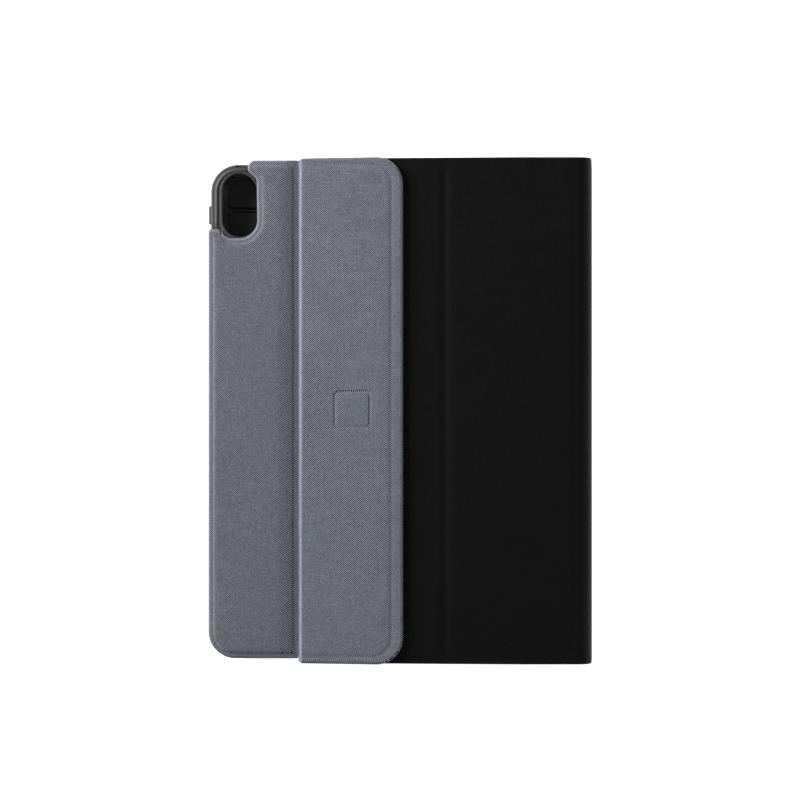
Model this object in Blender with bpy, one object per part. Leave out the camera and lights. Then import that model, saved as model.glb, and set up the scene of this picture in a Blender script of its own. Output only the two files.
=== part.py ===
"""A folding keyboard case for a 10.9-inch tablet, closed and lying on its keyboard cover.

Sizes are in metres. +X runs along the long side, +Y towards the spine and +Z up. The origin is at the
middle of the case's footprint, on the surface it lies on. From the bottom up: the keyboard cover, the
keyboard, the tray that grips the tablet (open towards the keys), and the outer panels on the tray's back.
"""

import math

import bmesh
import bpy
from mathutils import Matrix

MM = 0.001
GAP = 0.3 * MM
ARC_STEPS = 7

# Tablet that the tray is made for: length, width, thickness and corner radius.
TABLET = (247.6 * MM, 178.5 * MM, 6.1 * MM)
TABLET_RADIUS = 12.0 * MM

# Outer panels, seen from above.
COVER_HALF_X = 129.7 * MM
FLAP_HALF_X = 129.0 * MM
CASE_FRONT_Y = -98.1 * MM
CASE_REAR_Y = 98.1 * MM
FABRIC_X = (-127.9 * MM, 126.7 * MM)
FOLD_Y = -51.9 * MM
FLAP_FREE_Y = 2.0 * MM
CREASE_Y = 23.0 * MM
COVER_CORNER = 2.0 * MM
FABRIC_CORNER = 14.0 * MM

# Heights of the layers.
SKIN = 0.9 * MM
HEM = 1.2 * MM
SKIN_WALL_TOP = 3.2 * MM
CASE_BOTTOM = 2.4 * MM
CASE_FLOOR = 0.8 * MM
CASE_TOP = 6.9 * MM
DECK = (7.2 * MM, 8.0 * MM)
TRAY_BOTTOM = 9.4 * MM
LIP = 0.9 * MM
LIP_OVERHANG = 2.4 * MM
TRAY_WALL = 2.0 * MM
TRAY_BACK = 1.1 * MM
PANEL_TOP = 20.3 * MM
FABRIC_TOP = 19.1 * MM
FLAP = (20.6 * MM, 22.8 * MM)

# Keyboard cover and keyboard.
BASE_HALF_X = 126.2 * MM
BASE_Y = (-96.6 * MM, 94.4 * MM)
BASE_CORNER = 16.0 * MM
KEYBOARD_HALF_X = 124.4 * MM
KEYBOARD_Y = (-94.6 * MM, 92.6 * MM)
KEYBOARD_WALL = 1.2 * MM

# Keys: one unit is the pitch of a letter key, and each row runs over UNITS of them.
PITCH = 17.2 * MM
UNITS = 14
KEY_GAP = 2.2 * MM
FUNCTION_PITCH = 11.0 * MM
KEYS_FRONT_Y = -89.0 * MM
KEYCAP = (6.3 * MM, 9.0 * MM)
KEYCAP_CHAMFER = 0.5 * MM
KEY_CLEARANCE = 0.45 * MM
WEB = (6.35 * MM, 6.8 * MM)
MEMBRANE = (3.5 * MM, 4.7 * MM)
ROWS = (
    ("bottom", (("bank_modifiers_left", (1, 1, 1, 1.25)), ("key_space", (5,)),
                ("bank_arrows", (1, 0.75, 1, 1, 1)))),
    ("shift", (("key_shift", (2,)), *((f"key_{c}", (1,)) for c in "zxcvbnm"),
               ("bank_comma_to_up", (1, 1, 1, 1, 1)))),
    ("home", (("key_caps_lock", (1.5,)), *((f"key_{c}", (1,)) for c in "asdfghjkl"),
              ("bank_semicolon_to_enter", (1, 1, 1.5)))),
    ("top", (("key_tab", (1.25,)), *((f"key_{c}", (1,)) for c in "qwertyuiop"),
             ("bank_brackets", (1, 1, 0.75)))),
    ("numbers", (("bank_numbers", (1,) * 12 + (2,)),)),
    ("function", (("bank_function", (1,) * 14),)),
)

# Camera window in the tray's back, and the bare corner of the tray round it.
WINDOW_CENTRE = (-105.1 * MM, -82.15 * MM)
WINDOW = (32.5 * MM, 17.4 * MM)
WINDOW_RIM = 0.6 * MM
BARE_CORNER = (-92.6 * MM, -77.8 * MM)
BARE_CORNER_TOP = 18.9 * MM

# Buttons and switch.
VOLUME_X = (-100.3 * MM, -88.4 * MM)
VOLUME_LENGTH = 9.8 * MM
VOLUME_HEIGHT = (12.0 * MM, 14.8 * MM)
VOLUME_PROUD = 1.3 * MM
POWER_SLOT_Y = (-84.2 * MM, -76.8 * MM)
SLOT_HEIGHT = (11.0 * MM, 16.0 * MM)
PORT_SLOT_WIDTH = 15.0 * MM
SPEAKER_SLOT_WIDTH = 24.0 * MM
SPEAKER_OFFSET = 62.0 * MM
SWITCH_Y = 66.0 * MM
SWITCH_TRAVEL = 2.5 * MM
CHARGING_Y = 48.0 * MM

# Hinge axes, all parallel to X, as (y, z).
SPINE_HINGE = (96.5 * MM, 1.3 * MM)
BACK_HINGE = (96.0 * MM, 19.2 * MM)
CREASE_HINGE = (CREASE_Y, PANEL_TOP)
FLAP_HINGE = (FOLD_Y, FLAP[0])

# Finishes: colour, roughness, metallic.
LEATHERETTE = ((0.012, 0.012, 0.013), 0.55, 0.0)
BOARD = ((0.09, 0.085, 0.08), 0.8, 0.0)
CASE_PLASTIC = ((0.02, 0.02, 0.022), 0.5, 0.0)
KEYCAP_PLASTIC = ((0.018, 0.018, 0.02), 0.45, 0.0)
RUBBER = ((0.3, 0.3, 0.3), 0.7, 0.0)
CIRCUIT = ((0.02, 0.12, 0.05), 0.5, 0.0)
FOIL = ((0.55, 0.56, 0.58), 0.35, 0.6)
STEEL = ((0.6, 0.6, 0.62), 0.3, 1.0)
LENS = ((0.85, 0.9, 0.95), 0.15, 0.0)
SOFT_SHELL = ((0.085, 0.083, 0.085), 0.6, 0.0)
WOVEN = ((0.15, 0.165, 0.2), 0.85, 0.0)


def material(name, finish):
    """One Principled material with this finish's colour, roughness and metallic value."""
    made = bpy.data.materials.new(name)
    made.use_nodes = True
    shader = made.node_tree.nodes["Principled BSDF"]
    colour, roughness, metallic = finish
    shader.inputs["Base Color"].default_value = (*colour, 1.0)
    shader.inputs["Roughness"].default_value = roughness
    shader.inputs["Metallic"].default_value = metallic
    return made


def body(name, hinge=(0.0, 0.0)):
    """An empty on the body's hinge axis, which its pieces are parented to."""
    made = bpy.data.objects.new(name, None)
    made.location = (0.0, *hinge)
    bpy.context.scene.collection.objects.link(made)
    return made


def finished(mesh, name, finish=None, parent=None):
    """The bmesh as an object: a piece with a finish, or a hidden helper without one."""
    bmesh.ops.recalc_face_normals(mesh, faces=mesh.faces)
    data = bpy.data.meshes.new(name)
    mesh.to_mesh(data)
    mesh.free()
    data.shade_smooth()
    data.set_sharp_from_angle(angle=math.radians(35))
    made = bpy.data.objects.new(name, data)
    bpy.context.scene.collection.objects.link(made)
    if finish is None:
        made.hide_render = True
        made.display_type = "WIRE"
    else:
        data.materials.append(material(name, finish))
    if parent is not None:
        made.parent = parent
        made.matrix_parent_inverse = Matrix.Translation(parent.location).inverted()
    return made


def rounded_rectangle(x, y, radii):
    """Points of a rectangle with a radius for each corner: front left, front right, rear right, rear left."""
    corners = ((x[0], y[0]), (x[1], y[0]), (x[1], y[1]), (x[0], y[1]))
    inward = ((1, 1), (-1, 1), (-1, -1), (1, -1))
    points = []
    for turn, (corner, side, radius) in enumerate(zip(corners, inward, radii)):
        steps = ARC_STEPS if radius > 1.5 * MM else 2
        if radius == 0:
            points.append(corner)
            continue
        for step in range(steps + 1):
            angle = math.pi + math.pi / 2 * (turn + step / steps)
            points.append((corner[0] + side[0] * radius + radius * math.cos(angle),
                           corner[1] + side[1] * radius + radius * math.sin(angle)))
    return points


def add_prism(mesh, outline, bottom, top):
    """Adds the outline, extruded from bottom to top, to a bmesh."""
    face = mesh.faces.new([mesh.verts.new((px, py, bottom)) for px, py in outline])
    made = bmesh.ops.extrude_face_region(mesh, geom=[face])
    lifted = [item for item in made["geom"] if isinstance(item, bmesh.types.BMVert)]
    bmesh.ops.translate(mesh, verts=lifted, vec=(0, 0, top - bottom))


def prism(name, outline, z, finish=None, parent=None):
    mesh = bmesh.new()
    add_prism(mesh, outline, *z)
    return finished(mesh, name, finish, parent)


def plate(name, x, y, z, radii, finish=None, parent=None):
    return prism(name, rounded_rectangle(x, y, radii), z, finish, parent)


def block(name, x, y, z, finish=None, parent=None):
    return plate(name, x, y, z, (0, 0, 0, 0), finish, parent)


def combine(piece, other, operation):
    modifier = piece.modifiers.new(f"{operation.lower()} {other.name}", "BOOLEAN")
    modifier.operation = operation
    modifier.object = other


def cut(piece, *cutters):
    for cutter in cutters:
        combine(piece, cutter, "DIFFERENCE")


def inset(limits, by):
    return (limits[0] + by, limits[1] - by)


def both_ways(half):
    return (-half, half)


def about(middle, half):
    return (middle - half, middle + half)


def soften(piece, width, angle=40):
    """Rounds the piece's long hard edges a little."""
    bevel = piece.modifiers.new("soft edges", "BEVEL")
    bevel.width = width
    bevel.segments = 1
    bevel.limit_method = "ANGLE"
    bevel.angle_limit = math.radians(angle)


def stadium(centre, length, width, offset=0.0):
    """A slot outline with round ends, its length along X, grown by offset."""
    radius = width / 2 + offset
    straight = (length - width) / 2
    points = []
    for end, start in ((1, -math.pi / 2), (-1, math.pi / 2)):
        for step in range(2 * ARC_STEPS + 1):
            angle = start + math.pi * step / (2 * ARC_STEPS)
            points.append((centre[0] + end * straight + radius * math.cos(angle),
                           centre[1] + radius * math.sin(angle)))
    return points


def keyboard_cover(parent):
    """The front cover: a hemmed skin with a stiff board in it."""
    x = both_ways(BASE_HALF_X)
    radii = (BASE_CORNER, BASE_CORNER, COVER_CORNER, COVER_CORNER)
    skin = plate("front_skin", x, BASE_Y, (0, SKIN_WALL_TOP), radii, LEATHERETTE, parent)
    inner = [max(radius - HEM, 0) for radius in radii]
    cut(skin, plate("front_pocket", inset(x, HEM), inset(BASE_Y, HEM), (SKIN, 2 * SKIN_WALL_TOP), inner))
    room = HEM + GAP
    inner = [max(radius - room, 0) for radius in radii]
    plate("front_board", inset(x, room), inset(BASE_Y, room), (SKIN + GAP, CASE_BOTTOM - GAP),
          inner, BOARD, parent)


def keyboard_case(parent):
    """The keyboard's lower shell, with a slot for the charging port and one for the power switch."""
    x = both_ways(KEYBOARD_HALF_X)
    radii = (BASE_CORNER - 2 * MM, BASE_CORNER - 2 * MM, COVER_CORNER, COVER_CORNER)
    case = plate("lower_case", x, KEYBOARD_Y, (CASE_BOTTOM, CASE_TOP), radii, CASE_PLASTIC, parent)
    inner = [max(radius - KEYBOARD_WALL, 0) for radius in radii]
    hollow = plate("case_hollow", inset(x, KEYBOARD_WALL), inset(KEYBOARD_Y, KEYBOARD_WALL),
                   (CASE_BOTTOM + CASE_FLOOR, 2 * CASE_TOP), inner)
    wall = (KEYBOARD_HALF_X - 2 * KEYBOARD_WALL, KEYBOARD_HALF_X + MM)
    port = block("port_slot", wall, (CHARGING_Y - 4.8 * MM, CHARGING_Y + 4.8 * MM), (3.4 * MM, 6.5 * MM))
    switch_y = about(SWITCH_Y, SWITCH_TRAVEL + 2.3 * MM)
    switch = block("switch_slot", wall, switch_y, (4.1 * MM, 5.9 * MM))
    cut(case, hollow, port, switch)
    return radii


def keyboard_inside(parent):
    """What the keyboard holds: membrane, control board, battery and charging port."""
    keys_rear = KEYS_FRONT_Y + 5 * PITCH + FUNCTION_PITCH
    half = UNITS / 2 * PITCH - MM
    plate("key_membrane", both_ways(half), (KEYS_FRONT_Y + MM, keys_rear), MEMBRANE, (6 * MM, 6 * MM, 0, 0),
          RUBBER, parent)
    block("control_board", (-40 * MM, 96 * MM), (keys_rear + 5 * MM, keys_rear + 22 * MM),
          (3.6 * MM, 4.8 * MM), CIRCUIT, parent)
    battery = plate("battery_pack", (-92 * MM, 92 * MM), (keys_rear + 26 * MM, keys_rear + 76 * MM),
                    (3.6 * MM, 6.6 * MM), (2 * MM,) * 4, FOIL, parent)
    soften(battery, 0.5 * MM)
    port_x = (KEYBOARD_HALF_X - 7.5 * MM, KEYBOARD_HALF_X - 0.1 * MM)
    port_z = (3.7 * MM, 6.2 * MM)
    port = block("charging_port", port_x, about(CHARGING_Y, 4.4 * MM), port_z, STEEL, parent)
    mouth_x = (port_x[0] + 1.5 * MM, port_x[1] + MM)
    mouth_y = about(CHARGING_Y, 4.0 * MM)
    for name, z in (("port_mouth_lower", (4.0 * MM, 4.6 * MM)), ("port_mouth_upper", (5.3 * MM, 5.9 * MM))):
        cut(port, block(name, mouth_x, mouth_y, z))
    front_x = (port_x[1] - 1.5 * MM, port_x[1] + MM)
    cut(port, block("port_mouth_front", front_x, mouth_y, (4.0 * MM, 5.9 * MM)))


def power_switch(parent):
    """A slider in the right-hand wall: a knob outside and a foot that keeps it in its slot."""
    x = (KEYBOARD_HALF_X - 2.9 * MM, KEYBOARD_HALF_X + 0.9 * MM)
    middle = SWITCH_Y - SWITCH_TRAVEL / 2
    knob = block("power_switch", x, about(middle, 2 * MM), (4.4 * MM, 5.6 * MM), KEYCAP_PLASTIC, parent)
    foot = block("power_switch_foot", (x[0], x[0] + 1.2 * MM), about(middle, 3 * MM), (3.7 * MM, 6.3 * MM),
                 parent=parent)
    combine(knob, foot, "UNION")


def caps_of(start, widths, front, depth):
    """The plan of each keycap in a run of keys: ((x0, x1), (y0, y1)), from a left end and widths in units."""
    plans = []
    for width in widths:
        plans.append(((start + KEY_GAP / 2, start + width * PITCH - KEY_GAP / 2),
                      (front + KEY_GAP / 2, front + depth - KEY_GAP / 2)))
        start += width * PITCH
    return plans


def key_runs():
    """Every run of keys as (name, plans of its caps), row by row from the front."""
    front = KEYS_FRONT_Y
    for row, runs in ROWS:
        depth = FUNCTION_PITCH if row == "function" else PITCH
        start = -UNITS / 2 * PITCH
        for name, widths in runs:
            yield name, caps_of(start, widths, front, depth)
            start += sum(widths) * PITCH
        front += depth


def add_keycap(mesh, x, y):
    """A keycap: straight sides and a chamfer round its top."""
    top = KEYCAP[1] - KEYCAP_CHAMFER
    rings = []
    for z, by in ((KEYCAP[0], 0), (top, 0), (KEYCAP[1], KEYCAP_CHAMFER)):
        corners = rounded_rectangle(inset(x, by), inset(y, by), (0, 0, 0, 0))
        rings.append([mesh.verts.new((px, py, z)) for px, py in corners])
    mesh.faces.new(rings[0][::-1])
    mesh.faces.new(rings[-1])
    for lower, upper in zip(rings, rings[1:]):
        for i in range(4):
            j = (i + 1) % 4
            mesh.faces.new((lower[i], lower[j], upper[j], upper[i]))


def keys():
    """All the keys. A run of several caps is one bank, held together by a web under the deck."""
    for name, plans in key_runs():
        middle = (sum(plans[0][0] + plans[-1][0]) / 4, sum(plans[0][1]) / 2)
        holder = body(f"{name}_guide")
        holder.location = (*middle, KEYCAP[0])
        mesh = bmesh.new()
        for x, y in plans:
            add_keycap(mesh, x, y)
        made = finished(mesh, name, KEYCAP_PLASTIC, holder)
        if len(plans) > 1:
            web = block(f"{name}_web", (plans[0][0][0] + 2 * MM, plans[-1][0][1] - 2 * MM),
                        (middle[1] - 2 * MM, middle[1] + 2 * MM), WEB, parent=holder)
            combine(made, web, "UNION")


def key_deck(radii, parent):
    """The keyboard's top plate, with an opening for each keycap and a lens at its rear right."""
    x = both_ways(KEYBOARD_HALF_X)
    deck = plate("key_deck", x, KEYBOARD_Y, DECK, radii, CASE_PLASTIC, parent)
    mesh = bmesh.new()
    for _, plans in key_runs():
        for cap_x, cap_y in plans:
            opening = inset(cap_x, -KEY_CLEARANCE), inset(cap_y, -KEY_CLEARANCE)
            outline = rounded_rectangle(*opening, (0, 0, 0, 0))
            add_prism(mesh, outline, DECK[0] - MM, DECK[1] + MM)
    openings = finished(mesh, "key_openings")
    lens_centre = (112 * MM, 24 * MM)
    through = (DECK[0] - MM, DECK[1] + MM)
    lens_hole = prism("lens_hole", stadium(lens_centre, 5.4 * MM, 2.4 * MM, GAP), through)
    cut(deck, openings, lens_hole)
    lens_z = (DECK[0] - 0.2 * MM, DECK[1] + 0.1 * MM)
    prism("status_lens", stadium(lens_centre, 5.4 * MM, 2.4 * MM), lens_z, LENS, parent)


def spine(parent):
    """The spine panel behind the keyboard: a skin outside and a narrow board inside."""
    skin_y = (CASE_REAR_Y - HEM, CASE_REAR_Y)
    block("spine_skin", both_ways(COVER_HALF_X), skin_y, (1.7 * MM, 18.8 * MM), LEATHERETTE, parent)
    board_y = (skin_y[0] - GAP - 1.0 * MM, skin_y[0] - GAP)
    block("spine_board", both_ways(BASE_HALF_X), board_y, (4.2 * MM, 16.0 * MM), BOARD, parent)


def hemmed_panel(name, x, y, z, radii, board_radii, rim, finish, parent):
    """A panel of skin over a board: the skin wraps the board's edges and is open underneath."""
    skin = plate(f"{name}_skin", x, y, z, radii, finish, parent)
    pocket = [max(radius - HEM, 0) for radius in radii]
    cut(skin, plate(f"{name}_pocket", inset(x, HEM), inset(y, HEM), (z[0] - MM, z[1] - SKIN), pocket))
    return plate(f"{name}_board", inset(x, rim), inset(y, rim), (z[0] + 0.1 * MM, z[1] - SKIN - GAP),
                 board_radii, BOARD, parent)


def tray(parent):
    """The soft tray that grips the tablet: back, walls, a lip over the screen's edge, and its openings."""
    length, width, thickness = (side + 0.4 * MM for side in TABLET)
    middle_y = CASE_FRONT_Y + 1.3 * MM + TRAY_WALL + width / 2
    bay_x, bay_y = both_ways(length / 2), (middle_y - width / 2, middle_y + width / 2)
    bay_z = (TRAY_BOTTOM + LIP, TRAY_BOTTOM + LIP + thickness)
    top = bay_z[1] + TRAY_BACK
    x, y = inset(bay_x, -TRAY_WALL), inset(bay_y, -TRAY_WALL)
    radius = TABLET_RADIUS + TRAY_WALL
    shell = plate("tray_shell", x, y, (TRAY_BOTTOM, top), (radius,) * 4, SOFT_SHELL, parent)
    raised = (top - 0.5 * MM, BARE_CORNER_TOP)
    corner_x = (x[0] + 0.05 * MM, BARE_CORNER[0] - GAP)
    corner_y = (y[0] + 0.05 * MM, BARE_CORNER[1] - GAP)
    corner = plate("tray_corner", corner_x, corner_y, raised, (radius, 0, 0, 0), parent=parent)
    rim = prism("window_rim", stadium(WINDOW_CENTRE, *WINDOW, WINDOW_RIM), raised, parent=parent)
    combine(shell, corner, "UNION")
    combine(shell, rim, "UNION")
    outside = CASE_FRONT_Y - 2 * MM
    volume = [
        block(f"volume_slot_{i}", about(x_middle, VOLUME_LENGTH / 2 + GAP), (outside, bay_y[0] + MM),
              inset(VOLUME_HEIGHT, -GAP))
        for i, x_middle in enumerate(VOLUME_X)
    ]
    power = block("power_slot", (x[0] - MM, bay_x[0] + MM), POWER_SLOT_Y, SLOT_HEIGHT)
    right_wall = (bay_x[1] - MM, x[1] + MM)
    left_wall = (x[0] - MM, bay_x[0] + MM)
    port = block("port_slot_tray", right_wall, about(middle_y, PORT_SLOT_WIDTH / 2), SLOT_HEIGHT)
    speakers = [
        block(f"speaker_slot_{i}", wall, about(middle_y + side * SPEAKER_OFFSET, SPEAKER_SLOT_WIDTH / 2),
              SLOT_HEIGHT)
        for i, (wall, side) in enumerate(((left_wall, 1), (right_wall, -1), (right_wall, 1)))
    ]
    cut(
        shell,
        plate("tablet_bay", bay_x, bay_y, bay_z, (TABLET_RADIUS,) * 4),
        plate("screen_opening", inset(bay_x, LIP_OVERHANG), inset(bay_y, LIP_OVERHANG),
              (TRAY_BOTTOM - MM, bay_z[0] + MM), (TABLET_RADIUS - LIP_OVERHANG,) * 4),
        prism("camera_window", stadium(WINDOW_CENTRE, *WINDOW), (bay_z[1] - MM, BARE_CORNER_TOP + MM)),
        power, port, *volume, *speakers,
    )
    return top, y[0]


def volume_covers(wall_y, parents):
    """Two button covers in the tray's front wall, over the tablet's volume buttons."""
    names = ("volume_up_cover", "volume_down_cover")
    for name, x_middle, parent in zip(names, VOLUME_X, parents):
        cover = block(name, about(x_middle, VOLUME_LENGTH / 2), (wall_y - VOLUME_PROUD, wall_y + 1.2 * MM),
                      VOLUME_HEIGHT, SOFT_SHELL, parent)
        soften(cover, 0.4 * MM)


def fabric_panel(bottom, parent):
    """The woven panel fixed on the tray's back, cut away round the camera window and the tray's corner."""
    y = (CASE_FRONT_Y, FOLD_Y - GAP)
    panel = plate("fabric_panel", FABRIC_X, y, (bottom, FABRIC_TOP), (FABRIC_CORNER, FABRIC_CORNER, 0, 0),
                  WOVEN, parent)
    reach = (bottom - MM, FABRIC_TOP + MM)
    cut(
        panel,
        block("bare_corner", (FABRIC_X[0] - MM, BARE_CORNER[0]), (CASE_FRONT_Y - MM, BARE_CORNER[1]), reach),
        prism("window_clearance", stadium(WINDOW_CENTRE, *WINDOW, WINDOW_RIM + GAP), reach),
    )


def flap(parent):
    """The woven flap over the panels: a wrapped board with a magnet strip along its free edge."""
    x, y = both_ways(FLAP_HALF_X), (FOLD_Y + GAP, FLAP_FREE_Y)
    radii = (1 * MM, 1 * MM, FABRIC_CORNER, FABRIC_CORNER)
    board_radii = (0, 0, FABRIC_CORNER - HEM - GAP, FABRIC_CORNER - HEM - GAP)
    board = hemmed_panel("flap", x, y, FLAP, radii, board_radii, HEM + GAP, WOVEN, parent)
    magnet_y = (FLAP_FREE_Y - 10 * MM, FLAP_FREE_Y - 4 * MM)
    magnet_z = (FLAP[0] + 0.2 * MM, FLAP[1] - SKIN - 2 * GAP)
    half = 60 * MM
    cut(board, block("magnet_slot", both_ways(half + GAP), inset(magnet_y, -GAP), (FLAP[0] - MM, FLAP[1])))
    block("flap_magnet", both_ways(half), magnet_y, magnet_z, STEEL, parent)


def build():
    for old in list(bpy.data.objects):
        bpy.data.objects.remove(old)
    base = body("keyboard_base")
    keyboard_cover(base)
    radii = keyboard_case(base)
    keyboard_inside(base)
    key_deck(radii, base)
    keys()
    power_switch(body("power_switch_slide", (SWITCH_Y, 5.0 * MM)))
    spine(body("spine", SPINE_HINGE))
    tray_body = body("tray", CREASE_HINGE)
    tray_top, tray_front = tray(tray_body)
    volume_covers(tray_front, [body(f"volume_press_{i}", (tray_front, 13.4 * MM)) for i in range(2)])
    panel_bottom = tray_top + GAP
    fabric_panel(panel_bottom, tray_body)
    z = (panel_bottom, PANEL_TOP)
    corners = (COVER_CORNER,) * 4
    hemmed_panel("mid", both_ways(FLAP_HALF_X), (FOLD_Y + 0.9 * MM, CREASE_Y - GAP), z, corners, (0,) * 4,
                 HEM + GAP, LEATHERETTE, tray_body)
    hemmed_panel("prop", both_ways(COVER_HALF_X), (CREASE_Y + GAP, CASE_REAR_Y - 3.7 * MM), z, corners,
                 (0, 0, 8.5 * MM, 8.5 * MM), HEM + GAP, LEATHERETTE, body("prop_panel", BACK_HINGE))
    flap(body("flap", FLAP_HINGE))
    for row in ROWS:
        assert math.isclose(sum(sum(widths) for _, widths in row[1]), UNITS)


build()
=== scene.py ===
"""Looks of a folding keyboard case for a tablet, built round its fixed frame.

The case lies closed on its keyboard cover. A leatherette cover runs under the keyboard, up the spine
and over the back. Inside it are the keyboard and the soft tray that grips the tablet, with a woven panel
and flap on the tray's back. Lengths here are millimetres, turned into metres as a mesh is made.
"""

import logging
import math
from dataclasses import dataclass, field
from enum import Enum
from typing import Any, Callable, Optional, Sequence, Union

import bmesh
import bpy
import numpy as np
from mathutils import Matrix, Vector
from mathutils.geometry import delaunay_2d_cdt


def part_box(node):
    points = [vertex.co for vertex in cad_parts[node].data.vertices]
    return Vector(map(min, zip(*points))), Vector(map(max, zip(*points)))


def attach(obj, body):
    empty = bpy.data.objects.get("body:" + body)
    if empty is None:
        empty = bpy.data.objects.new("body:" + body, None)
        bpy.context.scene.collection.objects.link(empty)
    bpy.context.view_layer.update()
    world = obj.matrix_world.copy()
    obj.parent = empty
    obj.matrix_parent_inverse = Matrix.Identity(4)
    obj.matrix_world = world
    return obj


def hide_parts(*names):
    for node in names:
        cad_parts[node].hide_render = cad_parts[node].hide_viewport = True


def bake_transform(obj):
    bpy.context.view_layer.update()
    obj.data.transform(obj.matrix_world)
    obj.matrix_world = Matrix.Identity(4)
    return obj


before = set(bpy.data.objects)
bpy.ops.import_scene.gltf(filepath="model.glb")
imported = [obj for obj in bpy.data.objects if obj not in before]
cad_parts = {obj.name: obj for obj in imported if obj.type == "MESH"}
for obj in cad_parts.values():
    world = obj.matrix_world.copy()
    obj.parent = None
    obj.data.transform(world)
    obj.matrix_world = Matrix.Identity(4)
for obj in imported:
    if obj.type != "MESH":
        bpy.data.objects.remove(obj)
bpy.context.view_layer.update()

MM = 0.001
FAR = 9.0
MERGE = 0.0004
Array = np.ndarray
log = logging.getLogger("keyboard_case")


class Body(Enum):
    """The moving bodies that pieces ride on."""

    BASE = "keyboard_base"
    SPINE = "spine"
    PROP = "prop_panel"
    TRAY = "tray"
    FLAP = "flap"
    SWITCH = "power_switch"
    VOLUME_UP = "volume_up"
    VOLUME_DOWN = "volume_down"


class Slot(Enum):
    """The record's material slots."""

    LEATHERETTE = "leatherette"
    BOARD = "stiffener_board"
    CASE = "case_plastic"
    KEYCAP = "keycap_plastic"
    RUBBER = "silicone_rubber"
    CIRCUIT = "circuit_board"
    FOIL = "battery_foil"
    STEEL = "steel"
    LENS = "clear_lens"
    SOFT_SHELL = "soft_shell"
    WOVEN = "woven_fabric"


# --------------------------------------------------------------------------------------------------
# Curves and outlines in the plane
# --------------------------------------------------------------------------------------------------


def smooth(low: float, high: float, value: Array) -> Array:
    """A soft step from 0 at low to 1 at high, by 3t^2 - 2t^3. It falls instead where high is below low.

    Args:
        low: where the step starts.
        high: where it ends.
        value: the numbers to map.

    Returns:
        The step's height at each value.
    """
    t = np.clip((value - low) / (high - low), 0, 1)
    return t * t * (3 - 2 * t)


def ridge(distance_from: Array, width: float) -> Array:
    """A rounded ridge, exp(-(distance / width)^2), 1 on its line and 0 away from it."""
    return np.exp(-((distance_from / width) ** 2))


def bullnose(depth: Array, radius: float, power: float = 2.2) -> Array:
    """The rise of a rounded edge, a quarter superellipse: (1 - (1 - depth / radius)^p)^(1 / p).

    Args:
        depth: distance in from the edge.
        radius: depth at which the edge has risen fully.
        power: 2 for a quarter circle, and more for a squarer edge.

    Returns:
        0 at the edge and 1 past the radius.
    """
    t = 1 - np.clip(depth / radius, 0, 1)
    return (1 - t**power) ** (1 / power)


def unit(vectors: Array) -> Array:
    """The vectors at length 1."""
    return vectors / np.linalg.norm(vectors, axis=-1, keepdims=True)


def subdivided(loop: Array, step: float) -> Array:
    """A closed loop whose sides are cut into equal parts no longer than step."""
    side = np.roll(loop, -1, 0) - loop
    count = np.maximum(1, np.ceil(np.linalg.norm(side, axis=1) / step)).astype(int)
    which = np.repeat(np.arange(len(loop)), count)
    part = (np.arange(count.sum()) - (np.cumsum(count) - count)[which]) / count[which]
    return loop[which] + side[which] * part[:, None]


def filleted(
    corners: Sequence, radii: Sequence[float], step: float = 4.0, turn: float = 6.0
) -> Array:
    """A closed loop through corners, each rounded by the arc that touches both its sides.

    Args:
        corners: the corners in order, anticlockwise round solid material.
        radii: one radius for each corner, 0 for a sharp one.
        step: the longest side left between two points.
        turn: degrees of arc between two points.

    Returns:
        The loop's points, as rows of two numbers.
    """
    points = np.asarray(corners, float)
    runs = []
    neighbours = np.roll(points, 1, 0), points, np.roll(points, -1, 0)
    for before, corner, after, radius in zip(*neighbours, radii):
        into, out = unit(before - corner), unit(after - corner)
        half = math.acos(float(np.clip(into @ out, -1, 1))) / 2
        if radius <= 0 or half > math.pi / 2 - 1e-3:
            runs.append(corner[None])
            continue
        centre = corner + unit(into + out) * radius / math.sin(half)
        first = corner + into * radius / math.tan(half) - centre
        last = corner + out * radius / math.tan(half) - centre
        sweep = math.atan2(first[0] * last[1] - first[1] * last[0], first @ last)
        steps = max(2, math.ceil(abs(math.degrees(sweep)) / turn))
        angle = math.atan2(first[1], first[0]) + sweep * np.linspace(0, 1, steps + 1)
        runs.append(centre + radius * np.stack([np.cos(angle), np.sin(angle)], 1))
    return subdivided(np.concatenate(runs), step)


def rectangle(
    x: tuple, y: tuple, radii: Sequence[float], step: float = 4.0, turn: float = 6.0
) -> Array:
    """A rounded rectangle: its corners are front left, front right, rear right and rear left."""
    corners = ((x[0], y[0]), (x[1], y[0]), (x[1], y[1]), (x[0], y[1]))
    return filleted(corners, radii, step, turn)


def stadium(centre: tuple, length: float, width: float, step: float = 4.0, turn: float = 8.0) -> Array:
    """A slot outline with round ends, its length along the first axis."""
    x, y = centre
    radius = width / 2 - 1e-3
    sides = (x - length / 2, x + length / 2), (y - width / 2, y + width / 2)
    return rectangle(*sides, (radius,) * 4, step, turn)


def offset(loop: Array, inward: float) -> Array:
    """Each point moved along the inward normal of the chord between its neighbours."""
    along = unit(np.roll(loop, -1, 0) - np.roll(loop, 1, 0))
    return loop + inward * np.stack([-along[:, 1], along[:, 0]], 1)


def in_parts(points: Array, loop: Array, measure: Callable[[Array, Array, Array], Array]) -> Array:
    """Runs a measure of points against a loop's sides a part at a time, to keep its tables small."""
    ends = np.roll(loop, -1, 0)
    parts = np.array_split(points, 1 + len(points) * len(loop) // 3_000_000)
    return np.concatenate([measure(part, loop, ends) for part in parts])


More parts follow.
